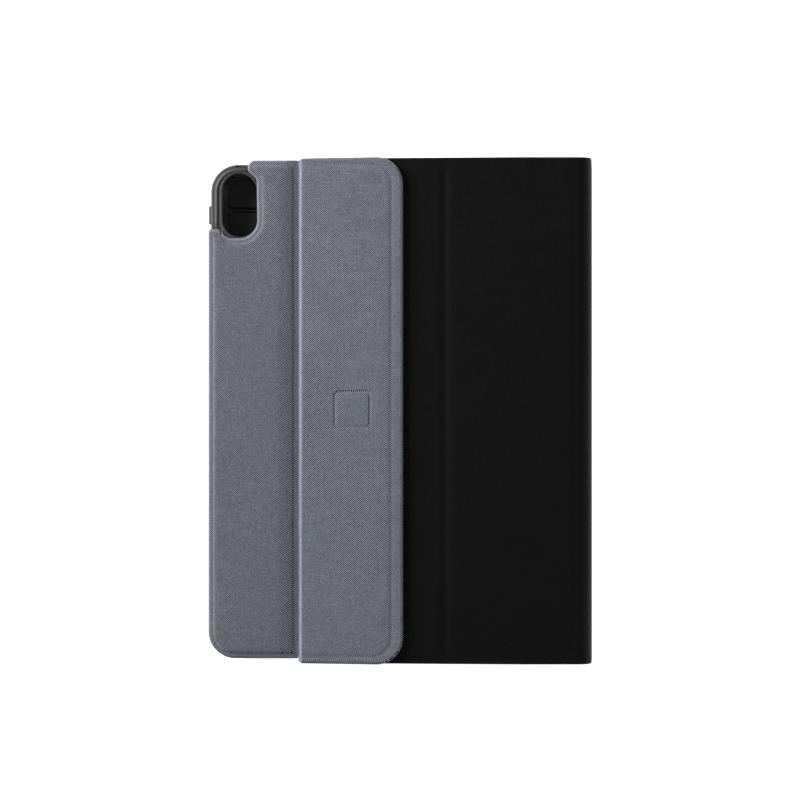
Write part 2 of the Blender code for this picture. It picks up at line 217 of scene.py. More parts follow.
def distance(points: Array, loop: Array) -> Array:
    """Shortest distance from each point to a closed loop.

    Args:
        points: rows of two numbers.
        loop: the loop's points.

    Returns:
        One distance for each point, never negative.
    """

    def measure(part: Array, start: Array, end: Array) -> Array:
        """Drops each point onto each side and keeps the nearest foot."""
        side = end - start
        gap = part[:, None] - start
        along = np.clip((gap * side).sum(2) / (side**2).sum(1), 0, 1)
        return np.sqrt(((gap - along[..., None] * side) ** 2).sum(2).min(1))

    return in_parts(points, loop, measure)


def inside(points: Array, loop: Array) -> Array:
    """True where a ray from the point along the first axis crosses the loop an odd number of times."""

    def measure(part: Array, start: Array, end: Array) -> Array:
        """Counts the sides that the ray crosses."""
        x, y = part[:, :1], part[:, 1:]
        crosses = (start[:, 1] > y) != (end[:, 1] > y)
        rise = np.where(end[:, 1] == start[:, 1], 1, end[:, 1] - start[:, 1])
        at = start[:, 0] + (y - start[:, 1]) * (end[:, 0] - start[:, 0]) / rise
        return (crosses & (x < at)).sum(1) % 2 == 1

    return in_parts(points, loop, measure)


def signed(points: Array, loop: Array) -> Array:
    """Distance to a loop, positive inside it and negative outside."""
    return np.where(inside(points, loop), 1, -1) * distance(points, loop)


def lattice(x: tuple, y: tuple, step: tuple) -> Array:
    """The points of a plain grid over a rectangle, about step apart each way."""
    along = np.linspace(*x, max(2, round((x[1] - x[0]) / step[0])))
    across = np.linspace(*y, max(2, round((y[1] - y[0]) / step[1])))
    return np.stack(np.meshgrid(along, across), 2).reshape(-1, 2)


def lines(x: tuple, rows: Sequence[float], step: float) -> Array:
    """Points along rows of constant second coordinate."""
    along = np.linspace(*x, max(2, round((x[1] - x[0]) / step)))
    return np.stack(np.meshgrid(along, np.asarray(rows, float)), 2).reshape(-1, 2)


# --------------------------------------------------------------------------------------------------
# Surfaces
# --------------------------------------------------------------------------------------------------


@dataclass
class Shape:
    """A closed surface in millimetres: its points, its faces and each point's distance from an edge."""

    points: Array
    faces: list
    edge: Array

    def add(self, other: "Shape") -> "Shape":
        """This shape and another in one."""
        moved = [[index + len(self.points) for index in face] for face in other.faces]
        points = np.concatenate([self.points, other.points])
        return Shape(points, self.faces + moved, np.concatenate([self.edge, other.edge]))

    def facing(self, axis: int, way: int, start: float = 0.0) -> "Shape":
        """The shape stood up: its height runs along an axis, and its plan fills the other two.

        Args:
            axis: 0 for x, and 1 for y.
            way: 1 where height runs up the axis, and -1 where it runs down.
            start: the place on the axis of its zero height.

        Returns:
            The shape, with its faces turned round where the move mirrors it.
        """
        a, b, height = self.points.T
        along = start + way * height
        points = np.stack([along, a, b] if axis == 0 else [a, along, b], 1)
        mirrored = (way < 0) != (axis == 1)
        return Shape(points, [face[::-1] for face in self.faces] if mirrored else self.faces, self.edge)

    def make(self, name: str, finish: "Finish", sharp: float = 50.0) -> bpy.types.Object:
        """Makes the object: merges points that coincide, and shades smooth but for its sharp edges.

        Args:
            name: the piece's name.
            finish: what it is made of.
            sharp: the angle in degrees past which an edge stays sharp.

        Returns:
            The new object, at the origin.
        """
        mesh = bpy.data.meshes.new(name)
        mesh.from_pydata((self.points * MM).tolist(), [], self.faces)
        depth = mesh.attributes.new("edge_mm", "FLOAT", "POINT")
        depth.data.foreach_set("value", np.minimum(self.edge, 50).astype(np.float32))
        tidy = bmesh.new()
        tidy.from_mesh(mesh)
        bmesh.ops.remove_doubles(tidy, verts=tidy.verts, dist=MERGE * MM)
        bmesh.ops.dissolve_degenerate(tidy, edges=tidy.edges, dist=MERGE * MM)
        tidy.to_mesh(mesh)
        tidy.free()
        mesh.shade_smooth()
        mesh.set_sharp_from_angle(angle=math.radians(sharp))
        mesh.materials.append(finish.material())
        made = bpy.data.objects.new(name, mesh)
        bpy.context.scene.collection.objects.link(made)
        return made


def filled(loops: Sequence[Array], extra: Array) -> tuple[Array, Array]:
    """Triangles between an outer loop and its holes, through extra points, as Delaunay joins them.

    Args:
        loops: the outer loop, then the holes.
        extra: points inside, where the surface needs them.

    Returns:
        The points, and the triangles as rows of three indices, anticlockwise.
    """
    points = np.concatenate([*loops, extra])
    sides, first = [], 0
    for loop in loops:
        ring = np.arange(first, first + len(loop))
        sides += np.stack([ring, np.roll(ring, -1)], 1).tolist()
        first += len(loop)
    result = delaunay_2d_cdt([Vector(point) for point in points.tolist()], sides, [], 0, 1e-5)
    points = np.array([tuple(point) for point in result[0]])
    triangles = np.array(result[2])
    middle = points[triangles].mean(1)
    keep = inside(middle, loops[0])
    for hole in loops[1:]:
        keep &= ~inside(middle, hole)
    triangles = triangles[keep]
    a, b, c = (points[triangles[:, i]] for i in range(3))
    turned = (b - a)[:, 0] * (c - a)[:, 1] - (b - a)[:, 1] * (c - a)[:, 0] < 0
    triangles[turned] = triangles[turned][:, ::-1]
    return points, triangles


def rim_points(loops: Sequence[Array], depths: Sequence[float]) -> Array:
    """Rings of points inside the loops' edges, less those that a tight corner brings too near an edge."""
    rings = []
    for loop in loops:
        for depth in depths:
            ring = offset(loop, depth)
            rings.append(ring[distance(ring, loop) > 0.93 * depth])
    return np.concatenate(rings)


def sheet(
    loops: Sequence[Array],
    extra: Array,
    heights: Callable[[Array, Array], tuple[Array, Array]],
    place: Callable[[Array, Array, Array], Array],
    rolled: Optional[Sequence[Array]] = None,
    keep_off: float = 0.8,
    open_loops: int = 0,
) -> Shape:
    """A sheet with an outer and an inner face over the same plan, joined round its edges.

    Each point of the plan is lifted to two heights, given as functions of its place and of its distance
    to the nearest rolled edge. Where the two heights meet the faces share the point, and elsewhere a wall
    joins them.

    Args:
        loops: the outer loop, then the holes.
        extra: points inside the plan, dropped where they are nearer an edge than keep_off.
        heights: gives the outer and inner heights from the plan's points and their depths.
        place: puts plan points and a height into space.
        rolled: the loops that depth is measured from, where they aren't the plan's own.
        keep_off: how near an edge an extra point may lie.
        open_loops: how many loops, from the first, get no wall, because another surface goes on there.

    Returns:
        The closed sheet.
    """
    rolled = loops if rolled is None else rolled
    near = signed(extra, loops[0])
    for hole in loops[1:]:
        near = np.minimum(near, -signed(extra, hole))
    points, triangles = filled(loops, extra[near > keep_off])
    depth = np.min([distance(points, loop) for loop in rolled], axis=0)
    outer, inner = heights(points, depth)
    both = np.concatenate([place(*points.T, outer), place(*points.T, inner)])
    count = len(points)
    sides = np.concatenate([triangles[:, [0, 1]], triangles[:, [1, 2]], triangles[:, [2, 0]]])
    key = np.sort(sides, 1) @ (count, 1)
    _, where, uses = np.unique(key, return_index=True, return_counts=True)
    border = sides[where[uses == 1]]
    border = border[np.abs(outer - inner)[border].max(1) > 1e-6]
    if open_loops:
        goes_on = np.concatenate(loops[:open_loops])
        middle = points[border].mean(1)
        border = border[np.min(np.linalg.norm(middle[:, None] - goes_on, axis=2), 1) > 2.5]
    i, j = border.T
    walls = np.stack([j, i, i + count, j + count], 1)
    faces = [*triangles.tolist(), *(triangles[:, ::-1] + count).tolist(), *walls.tolist()]
    return Shape(both, faces, np.concatenate([depth, depth]))


def flat(x: Array, y: Array, z: Array) -> Array:
    """A plan point and its height, as they are."""
    return np.stack([x, y, z], 1)


def grid_faces(rows: int, columns: int, round_rows: bool = True) -> list:
    """Quads between the points of a grid, whose rows may close on themselves.

    Args:
        rows: points along the first direction.
        columns: points along the second.
        round_rows: True where the last row meets the first.

    Returns:
        The quads' indices into the grid, row by row.
    """
    spans = np.arange(rows if round_rows else rows - 1), np.arange(columns - 1)
    row, column = np.meshgrid(*spans, indexing="ij")
    here, there = row * columns + column, (row + 1) % rows * columns + column
    return np.stack([quad.ravel() for quad in (here, there, there + 1, here + 1)], 1).tolist()


def tube_faces(rings: int, size: int) -> list:
    """Quads between rings of equal size, each closed on itself."""
    row, column = np.meshgrid(np.arange(rings - 1), np.arange(size), indexing="ij")
    here, beside = row * size + column, row * size + (column + 1) % size
    return np.stack([quad.ravel() for quad in (here, beside, beside + size, here + size)], 1).tolist()


def lofted(loop: Array, levels: Sequence[tuple], dish: float = 0.0) -> Shape:
    """Rings of one outline, each drawn in by an amount at a height, with a flat end below and a top.

    A level is (inset, height). The last ring is then shrunk towards the middle in even steps, and the
    top sinks by dish times one less the square of the share of the half width.

    Args:
        loop: the outline.
        levels: insets and heights from the lower end to the top's rim.
        dish: how far the top's middle sinks.

    Returns:
        The closed shape, with its third coordinate the height.
    """
    centre = (loop.min(0) + loop.max(0)) / 2
    size, top = len(loop), levels[-1][1]
    rings = [np.column_stack([offset(loop, inset), np.full(size, height)]) for inset, height in levels]
    rim = rings[-1][:, :2] - centre
    half = np.abs(rim[:, 0]).max()
    for share in (0.7, 0.35):
        plan = rim * share
        rings.append(np.column_stack([centre + plan, top - dish * (1 - (plan[:, 0] / half) ** 2)]))
    middle = [[*centre, levels[0][1]], [*centre, top - dish]]
    points = np.concatenate([*rings, middle])
    ring, last = np.arange(size), (len(rings) - 1) * size
    after = np.roll(ring, -1)
    faces = tube_faces(len(rings), size)
    faces += np.stack([after, ring, np.full(size, len(points) - 2)], 1).tolist()
    faces += np.stack([last + ring, last + after, np.full(size, len(points) - 1)], 1).tolist()
    depths = [float(min(abs(height - top) + inset, FAR)) for inset, height in levels]
    edge = np.concatenate([np.repeat(depths, size), np.full(2 * size + 2, FAR)])
    return Shape(points, faces, edge)


EMPTY = Shape(np.zeros((0, 3)), [], np.zeros(0))
NOTCH = ((-122.6, -77.8), (-118.5, -73.3), (-88.2, -72.8), (-88.2, -91.3), (-92.8, -91.3))
NOTCH_RADII = (2.0, 3.0, 9.3, 5.5, 2.5)
BUTTONS = {"volume_up_cover": Body.VOLUME_UP, "volume_down_cover": Body.VOLUME_DOWN}


# --------------------------------------------------------------------------------------------------
# Finishes
# --------------------------------------------------------------------------------------------------

Number = Union["Wire", float]
Colour = tuple[float, float, float, float]
Tint = Union["Wire", Colour]


class Wire:
    """A node's output that takes part in sums as a number does."""

    def __init__(self, nodes: "Nodes", socket: bpy.types.NodeSocket) -> None:
        """Wraps a socket of a material's nodes."""
        self.nodes = nodes
        self.socket = socket

    def maths(self, operation: str, first: Number, second: Number) -> "Wire":
        """A Math node on two values."""
        node = self.nodes.add("ShaderNodeMath", {"operation": operation}, {0: first, 1: second})
        return Wire(self.nodes, node.outputs[0])

    def __add__(self, other: Number) -> "Wire":
        """This value plus another."""
        return self.maths("ADD", self, other)

    __radd__ = __add__

    def __sub__(self, other: Number) -> "Wire":
        """This value less another."""
        return self.maths("SUBTRACT", self, other)

    def __rsub__(self, other: Number) -> "Wire":
        """Another value less this one."""
        return self.maths("SUBTRACT", other, self)

    def __mul__(self, other: Number) -> "Wire":
        """This value times another."""
        return self.maths("MULTIPLY", self, other)

    __rmul__ = __mul__

    def __truediv__(self, other: Number) -> "Wire":
        """This value over another."""
        return self.maths("DIVIDE", self, other)

    def __abs__(self) -> "Wire":
        """This value without its sign."""
        return self.maths("ABSOLUTE", self, 0.0)

    def sine(self) -> "Wire":
        """The sine of this value in radians."""
        return self.maths("SINE", self, 0.0)

    def step(self, low: float, high: float) -> "Wire":
        """A soft step of this value from 0 at low to 1 at high."""
        settings = {"interpolation_type": "SMOOTHSTEP"}
        inputs = {"Value": self, "From Min": low, "From Max": high}
        node = self.nodes.add("ShaderNodeMapRange", settings, inputs)
        return Wire(self.nodes, node.outputs["Result"])


class Nodes:
    """The nodes of one material, with its shader."""

    def __init__(self, name: str) -> None:
        """Starts a material with a Principled shader."""
        self.material = bpy.data.materials.new(name)
        self.material.use_nodes = True
        self.tree = self.material.node_tree
        self.shader = self.tree.nodes["Principled BSDF"]

    def feed(self, socket: bpy.types.NodeSocket, value: Any) -> None:
        """Links a wire to a socket, or sets the socket's own value."""
        if isinstance(value, Wire):
            self.tree.links.new(value.socket, socket)
        else:
            socket.default_value = value

    def add(
        self, kind: str, settings: Optional[dict] = None, inputs: Optional[dict] = None
    ) -> bpy.types.Node:
        """Adds a node, sets it up, then feeds its sockets.

        Args:
            kind: the node's type.
            settings: its own properties.
            inputs: values or wires, by socket name or number.

        Returns:
            The node.
        """
        node = self.tree.nodes.new(kind)
        for key, value in (settings or {}).items():
            setattr(node, key, value)
        for key, value in (inputs or {}).items():
            self.feed(node.inputs[key], value)
        return node

    def place(self) -> Wire:
        """The point's place on the piece, in millimetres."""
        where = self.add("ShaderNodeTexCoord").outputs["Object"]
        settings = {"operation": "SCALE"}
        node = self.add("ShaderNodeVectorMath", settings, {0: Wire(self, where), "Scale": 1 / MM})
        return Wire(self, node.outputs[0])

    def axes(self, place: Wire) -> tuple[Wire, Wire, Wire]:
        """The three coordinates of a place."""
        node = self.add("ShaderNodeSeparateXYZ", None, {0: place})
        return tuple(Wire(self, node.outputs[i]) for i in range(3))

    def join(self, x: Number, y: Number, z: Number) -> Wire:
        """A vector of three values."""
        node = self.add("ShaderNodeCombineXYZ", None, {0: x, 1: y, 2: z})
        return Wire(self, node.outputs[0])

    def noise(self, place: Wire, size: float, detail: float = 2.0, roughness: float = 0.5) -> Wire:
        """Cloudy noise with features about size millimetres across, round 0.5."""
        inputs = {"Vector": place, "Scale": 1 / size, "Detail": detail, "Roughness": roughness}
        return Wire(self, self.add("ShaderNodeTexNoise", None, inputs).outputs[0])

    def cells(self, place: Wire, size: float, feature: str = "F1") -> Wire:
        """The distance to the nearest of scattered points about size millimetres apart."""
        inputs = {"Vector": place, "Scale": 1 / size}
        node = self.add("ShaderNodeTexVoronoi", {"feature": feature}, inputs)
        return Wire(self, node.outputs["Distance"])

    def edge(self) -> Wire:
        """The distance from the piece's edge, in millimetres."""
        node = self.add("ShaderNodeAttribute", {"attribute_name": "edge_mm"})
        return Wire(self, node.outputs["Fac"])

    def mix(self, factor: Number, first: Tint, second: Tint, blend: str = "MIX") -> Wire:
        """A colour between two, or one laid on the other by a blend."""
        settings = {"data_type": "RGBA", "blend_type": blend}
        node = self.add("ShaderNodeMix", settings, {0: factor, 6: first, 7: second})
        return Wire(self, node.outputs[2])

    def shaded(self, colour: Tint, shade: Wire) -> Wire:
        """A colour times a grey shade."""
        return self.mix(1.0, colour, self.join(shade, shade, shade), "MULTIPLY")

    def bump(self, height: Wire, strength: float = 1.0) -> Wire:
        """A normal tilted by a height in millimetres."""
        inputs = {"Height": height, "Distance": MM, "Strength": strength}
        return Wire(self, self.add("ShaderNodeBump", None, inputs).outputs[0])

    def surface(
        self, colour: Tint, roughness: Number, normal: Optional[Wire] = None, **constants: Any
    ) -> None:
        """Feeds the shader: what varies by wire, and constants on their own sockets.

        Args:
            colour: the base colour.
            roughness: the roughness.
            normal: a bumped normal.
            constants: other sockets' values, with _ for a space in a name.
        """
        self.feed(self.shader.inputs["Base Color"], colour)
        self.feed(self.shader.inputs["Roughness"], roughness)
        if normal is not None:
            self.feed(self.shader.inputs["Normal"], normal)
        for name, value in constants.items():
            self.shader.inputs[name.replace("_", " ")].default_value = value


def grey(value: float, warm: float = 0.0) -> Colour:
    """A neutral colour, a little warm or cool."""
    return (value * (1 + warm), value, value * (1 - warm), 1.0)


@dataclass(frozen=True)
class Finish:
    """A finish by its name and its record slot. Each kind of finish paints its own nodes."""

    name: str
    slot: Slot

    def paint(self, nodes: Nodes) -> None:
        """Builds the finish's nodes."""
        raise NotImplementedError

    def material(self) -> bpy.types.Material:
        """The finish's material, made once."""
        made = bpy.data.materials.get(self.name)
        if made is None:
            nodes = Nodes(self.name)
            self.paint(nodes)
            made = nodes.material
        return made


@dataclass(frozen=True)
class Woven(Finish):
    """A plain weave of pale and dark yarns: sin(u) sin(v) has a bead of one yarn at each crossing."""

    pale: Colour = (0.450, 0.472, 0.556, 1.0)
    dark: Colour = (0.012, 0.014, 0.022, 1.0)
    cell: float = 0.511
    climb: float = 1.5625
    relief: float = 0.035

    def paint(self, nodes: Nodes) -> None:
        """Lays the beads, varies each yarn along its length, and pales the edges as a painted highlight.
        """
        place = nodes.place()
        x, y, z = nodes.axes(place)
        wander = (nodes.noise(place, 26.0) - 0.5) * 0.5
        u = (x + z * self.climb) * (math.pi / self.cell) + wander
        v = (y + z * self.climb) * (math.pi / self.cell) - wander
        bead = u.sine() * v.sine()
        warp = nodes.noise(nodes.join(x / 0.55, y / 9.0, z / 9.0), 1.0, 1.0)
        weft = nodes.noise(nodes.join(x / 9.0, y / 0.55, z / 9.0), 1.0, 1.0)
        cloud = nodes.noise(place, 5.0, 3.0)
        fleck = nodes.noise(place, 0.42, 1.0)
        share = (bead + (fleck - 0.5) * 0.9).step(-0.10, 0.56)
        base = nodes.mix(share, self.dark, self.pale)
        shade = 0.62 + (warp + weft) * 0.3 + (cloud - 0.5) * 0.22
        colour = nodes.shaded(base, shade)
        # Painted highlight: the cloth turns paler near an edge, and the pieces keep this only on edges
        # that face the key light.
        wear_and_edge_highlight = (1 - nodes.edge().step(0.2, 2.2)) * 0.20
        colour = nodes.mix(wear_and_edge_highlight, colour, self.pale)
        height = (abs(bead) + (fleck - 0.5) * 0.3) * self.relief
        bump = nodes.bump(height)
        nodes.surface(colour, 0.86 - share * 0.1, bump, Specular_IOR_Level=0.25, Sheen_Weight=0.12)


@dataclass(frozen=True)
class Leatherette(Finish):
    """Coated cloth with a fine pebble grain, duller in its valleys and worn grey at its edges."""

    colour: Colour = (0.0028, 0.0028, 0.0029, 1.0)
    wear_and_edge_highlight: Colour = (0.018, 0.018, 0.0185, 1.0)
    grain: float = 0.85
    relief: float = 0.045

    def paint(self, nodes: Nodes) -> None:
        """Pebbles from scattered cells, finer pores between them, and slow waves in the board below."""
        place = nodes.place()
        pebble = nodes.cells(place, self.grain, "SMOOTH_F1")
        pore = nodes.noise(place, 0.3, 3.0, 0.6)
        cloud = nodes.noise(place, 24.0, 3.0)
        wear = (1 - nodes.edge().step(0.2, 1.4)) * (0.25 + pore * 0.7)
        paler = pebble.step(0.15, 0.7) * 0.4 + (cloud - 0.5) * 0.5 + 0.2
        shade = nodes.mix(paler, self.colour, grey(0.0056))
        colour = nodes.mix(wear * 0.6, shade, self.wear_and_edge_highlight)
        height = (0.5 - pebble) * self.relief + pore * 0.02 + cloud * 0.10
        rough = 0.50 + (pore - 0.5) * 0.18 + pebble * 0.06
        nodes.surface(colour, rough, nodes.bump(height), Specular_IOR_Level=0.12)


@dataclass(frozen=True)
class Moulded(Finish):
    """Moulded plastic or rubber: a fine spark texture, faint mottling, and paler rubbed edges."""

    colour: Colour = grey(0.02)
    roughness: float = 0.5
    specular: float = 0.4
    grain: float = 0.22
    relief: float = 0.012
    rub: float = 0.25

    def paint(self, nodes: Nodes) -> None:
        """Grain from two sizes of noise, with the mottling and the rub in the colour."""
        place = nodes.place()
        spark = nodes.noise(place, self.grain, 2.0, 0.6)
        cloud = nodes.noise(place, 11.0, 3.0)
        shade = 0.86 + spark * 0.16 + cloud * 0.12
        colour = nodes.shaded(self.colour, shade)
        rub = (1 - nodes.edge().step(0.05, 0.7)) * (spark * self.rub)
        pale = tuple(min(1.0, part * 2.4 + 0.01) for part in self.colour[:3]) + (1.0,)
        colour = nodes.mix(rub, colour, pale)
        rough = self.roughness - 0.06 + spark * 0.10 + (cloud - 0.5) * 0.06
        nodes.surface(colour, rough, nodes.bump(spark * self.relief), Specular_IOR_Level=self.specular)


@dataclass(frozen=True)
class Microfibre(Finish):
    """Dark brushed lining: short fibres that lie two ways, with soft marks where it was stroked."""

    colour: Colour = (0.040, 0.040, 0.043, 1.0)

    def paint(self, nodes: Nodes) -> None:
        """Streaks of noise drawn out along both axes, over a slow stroke pattern."""
        place = nodes.place()
        x, y, z = nodes.axes(place)
        long = nodes.noise(nodes.join(x / 2.2, y / 0.25, z), 1.0, 2.0)
        across = nodes.noise(nodes.join(x / 0.25, y / 2.2, z), 1.0, 2.0)
        stroke = nodes.noise(place, 16.0, 2.0)
        shade = 0.55 + long * 0.35 + across * 0.35 + (stroke - 0.5) * 0.35
        colour = nodes.shaded(self.colour, shade)
        height = (long + across) * 0.05
        nodes.surface(colour, 0.92, nodes.bump(height), Specular_IOR_Level=0.2, Sheen_Weight=0.35)


@dataclass(frozen=True)
class Metal(Finish):
    """Plated or foil metal, brushed along one axis, with a little dulling."""

    colour: Colour = grey(0.6)
    roughness: float = 0.3
    wrinkle: float = 0.0

    def paint(self, nodes: Nodes) -> None:
        """Fine streaks, and crumples where the finish is a foil."""
        place = nodes.place()
        x, y, z = nodes.axes(place)
        streak = nodes.noise(nodes.join(x / 6.0, y / 0.12, z / 0.12), 1.0, 2.0)
        crumple = nodes.noise(place, 7.0, 3.0, 0.6)
        colour = nodes.mix(crumple * 0.3, self.colour, grey(0.35))
        height = streak * 0.004 + crumple * self.wrinkle
        rough = self.roughness + (streak - 0.5) * 0.14
        nodes.surface(colour, rough, nodes.bump(height), Metallic=1.0)


@dataclass(frozen=True)
class Laminate(Finish):
    """A circuit board: green mask over copper tracks, which run square to each other."""

    def paint(self, nodes: Nodes) -> None:
        """Tracks are the raised part of two slow square waves, broken up by noise."""
        place = nodes.place()
        x, y, _ = nodes.axes(place)
        broken = nodes.noise(place, 6.0, 2.0)
        tracks = ((x * 2.4).sine().step(0.3, 0.5)) * (broken.step(0.48, 0.52))
        tracks = tracks + ((y * 2.4).sine().step(0.3, 0.5)) * (1 - broken.step(0.48, 0.52))
        colour = nodes.mix(tracks * 0.7, (0.012, 0.075, 0.032, 1.0), (0.03, 0.16, 0.07, 1.0))
        nodes.surface(colour, 0.42 + broken * 0.1, nodes.bump(tracks * 0.03), Specular_IOR_Level=0.5)


@dataclass(frozen=True)
class LightPipe(Finish):
    """A milky clear insert."""

    def paint(self, nodes: Nodes) -> None:
        """Slight clouding of a pale, glossy body."""
        milk = nodes.noise(nodes.place(), 1.2, 2.0)
        colour = nodes.mix(milk, (0.55, 0.60, 0.64, 1.0), (0.80, 0.84, 0.86, 1.0))
        nodes.surface(colour, 0.16 + milk * 0.08, Coat_Weight=0.4)


@dataclass(frozen=True)
class Paper(Finish):
    """The plain pale floor."""

    def paint(self, nodes: Nodes) -> None:
        """White with the faintest mottling."""
        cloud = nodes.noise(nodes.place(), 300.0, 2.0)
        colour = nodes.mix(cloud, grey(0.93), grey(0.95))
        glow = {"Emission_Color": grey(1.0), "Emission_Strength": 0.92}
        nodes.surface(colour, 0.9, Specular_IOR_Level=0.0, **glow)


WOVEN = Woven("woven melange", Slot.WOVEN)
# The panel's and hinge's cloth is the flap's weave with a darker pale yarn: painted shade on one cloth.
SHADED_PANEL_CLOTH = Woven("shaded woven melange of the panel", Slot.WOVEN, (0.390, 0.409, 0.484, 1.0))
COVER = Leatherette("black leatherette", Slot.LEATHERETTE)
LINING = Microfibre("brushed lining", Slot.BOARD)
SHELL = Moulded("soft grey shell", Slot.SOFT_SHELL, grey(0.050, 0.01), 0.55, 0.30, 0.30, 0.010, 0.02)
CASE = Moulded("textured case plastic", Slot.CASE, grey(0.017), 0.52, 0.35, 0.25, 0.014, 0.2)
DECK = Moulded("deck plastic", Slot.CASE, grey(0.021), 0.46, 0.35, 0.20, 0.010, 0.2)
KEYCAP = Moulded("keycap plastic", Slot.KEYCAP, grey(0.016), 0.44, 0.35, 0.18, 0.006, 0.3)
RUBBER = Moulded("moulded rubber", Slot.RUBBER, grey(0.28), 0.7, 0.3, 0.5, 0.02, 0.1)
BOARD = Moulded("stiffener board", Slot.BOARD, (0.09, 0.085, 0.08, 1.0), 0.85, 0.2, 0.6, 0.05, 0.2)
STEEL = Metal("plated steel", Slot.STEEL)
FOIL = Metal("laminated foil", Slot.FOIL, grey(0.55), 0.38, 0.12)
CIRCUIT = Laminate("solder mask", Slot.CIRCUIT)
LENS = LightPipe("milky insert", Slot.LENS)


# --------------------------------------------------------------------------------------------------
# Pieces and their bodies
# --------------------------------------------------------------------------------------------------


def settle(piece: bpy.types.Object, replaces: Sequence[str]) -> bpy.types.Object:
    """Hides the CAD nodes that a piece stands for, and reports it."""
    if replaces:
        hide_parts(*replaces)
    stands_for = ", ".join(replaces) or "no node"
    log.info("%s: %d faces, for %s", piece.name, len(piece.data.polygons), stands_for)
    return piece


def riding(
    shape: Shape, name: str, finish: Finish, body: str, *replaces: str, sharp: float = 50.0
) -> bpy.types.Object:
    """Makes a shape into a piece that rides on one body."""
    piece = shape.make(name, finish, sharp)
    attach(piece, body)
    return settle(piece, replaces)


def bending(
    shape: Shape, name: str, finish: Finish, bodies: tuple[Body, Body], ends: tuple, *replaces: str
) -> bpy.types.Object:
    """Makes a shape into a piece baked where it lies; its two ends come as (y, z) points."""
    piece = shape.make(name, finish)
    start, end = ((0.0, y * MM, z * MM) for y, z in ends)
    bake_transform(piece)
    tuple(start)
    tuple(end)
    return settle(piece, replaces)


def cut_by(piece: bpy.types.Object, tool: bpy.types.Object) -> None:
    """Cuts a tool's shape out of a piece, applies it, and removes the tool."""
    modifier = piece.modifiers.new("slots", "BOOLEAN")
    modifier.operation = "DIFFERENCE"
    modifier.object = tool
    bpy.context.view_layer.update()
    graph = bpy.context.evaluated_depsgraph_get()
    mesh = bpy.data.meshes.new_from_object(piece.evaluated_get(graph))
    piece.modifiers.clear()
    old = piece.data
    piece.data = mesh
    bpy.data.meshes.remove(old)
    bpy.data.objects.remove(tool)
    mesh.name = piece.name
    mesh.set_sharp_from_angle(angle=math.radians(45))


def carved(
    shape: Shape, cutters: Shape, name: str, finish: Finish, body: Body, node: str, sharp: float
) -> bpy.types.Object:
    """Makes a shape, less its cutters, into a piece that rides on one body and stands for one node."""
    piece = shape.make(name, finish, sharp)
    cut_by(piece, cutters.make("cutters", finish))
    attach(piece, body.value)
    return settle(piece, (node,))


def limits(node: str) -> tuple[tuple, tuple, tuple]:
    """A CAD node's extent along each axis, in millimetres."""
    low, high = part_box(node)
    return tuple((low[axis] / MM, high[axis] / MM) for axis in range(3))


def grown(extent: tuple, by: float) -> tuple:
    """An extent made longer at both ends."""
    return (extent[0] - by, extent[1] + by)


def plate(z: tuple, roll: float, power: float = 2.2) -> Callable[[Array, Array], tuple[Array, Array]]:
    """The heights of a flat sheet's faces, which part by a bullnose as they leave the edge."""
    half = (z[1] - z[0]) / 2

    def heights(_: Array, depth: Array) -> tuple[Array, Array]:
        """Both faces at the plan's depths."""
        rise = half * bullnose(depth, roll, power)
        return z[0] + half + rise, z[0] + half - rise

    return heights


def slab(
    x: tuple, y: tuple, z: tuple, radii: Sequence[float], roll: float, step: float = 10.0
) -> Shape:
    """A flat piece with rolled edges.

    Args:
        x: its extent along x.
        y: its extent along y.
        z: its extent in height.
        radii: its corner radii.
        roll: how far in the edges are rounded.
        step: spacing of the points inside.

    Returns:
        The closed piece.
    """
    loop = rectangle(x, y, radii)
    rims = rim_points([loop], (0.06 * roll, 0.3 * roll, roll))
    extra = np.concatenate([rims, lattice(x, y, (step, step))])
    return sheet([loop], extra, plate(z, roll), flat, keep_off=0.05 * roll)


@dataclass(frozen=True)
class FoldPath:
    """The cover's outer face seen end on: a start point, and runs of (length, turn in degrees)."""

    start: tuple[float, float]
    runs: tuple[tuple[float, float], ...]

    def at(self, along: Array) -> tuple[Array, Array, Array]:
        """The point and heading at a distance along the path.

        Each run adds its chord, on a bend (sin a1 - sin a0, cos a0 - cos a1) over the curvature.

        Args:
            along: distances from the start.

        Returns:
            The y and z of each point, and its heading in radians from +y.
        """
        y, z = np.full_like(along, self.start[0]), np.full_like(along, self.start[1])
        heading, passed, angle = np.zeros_like(along), 0.0, 0.0
        for length, degrees in self.runs:
            part = np.clip(along - passed, 0, length)
            bend = math.radians(degrees) / length
            if bend:
                y += (np.sin(angle + bend * part) - math.sin(angle)) / bend
                z += (math.cos(angle) - np.cos(angle + bend * part)) / bend
            else:
                y += part * math.cos(angle)
                z += part * math.sin(angle)
            heading += bend * part
            passed += length
            angle += bend * length
        return y, z, heading

    def place(self, x: Array, along: Array, depth: Array) -> Array:
        """A point of the cover: across, along the path, and in from the outer face."""
        y, z, heading = self.at(along)
        return np.stack([x, y + depth * np.sin(heading), z - depth * np.cos(heading)], 1)


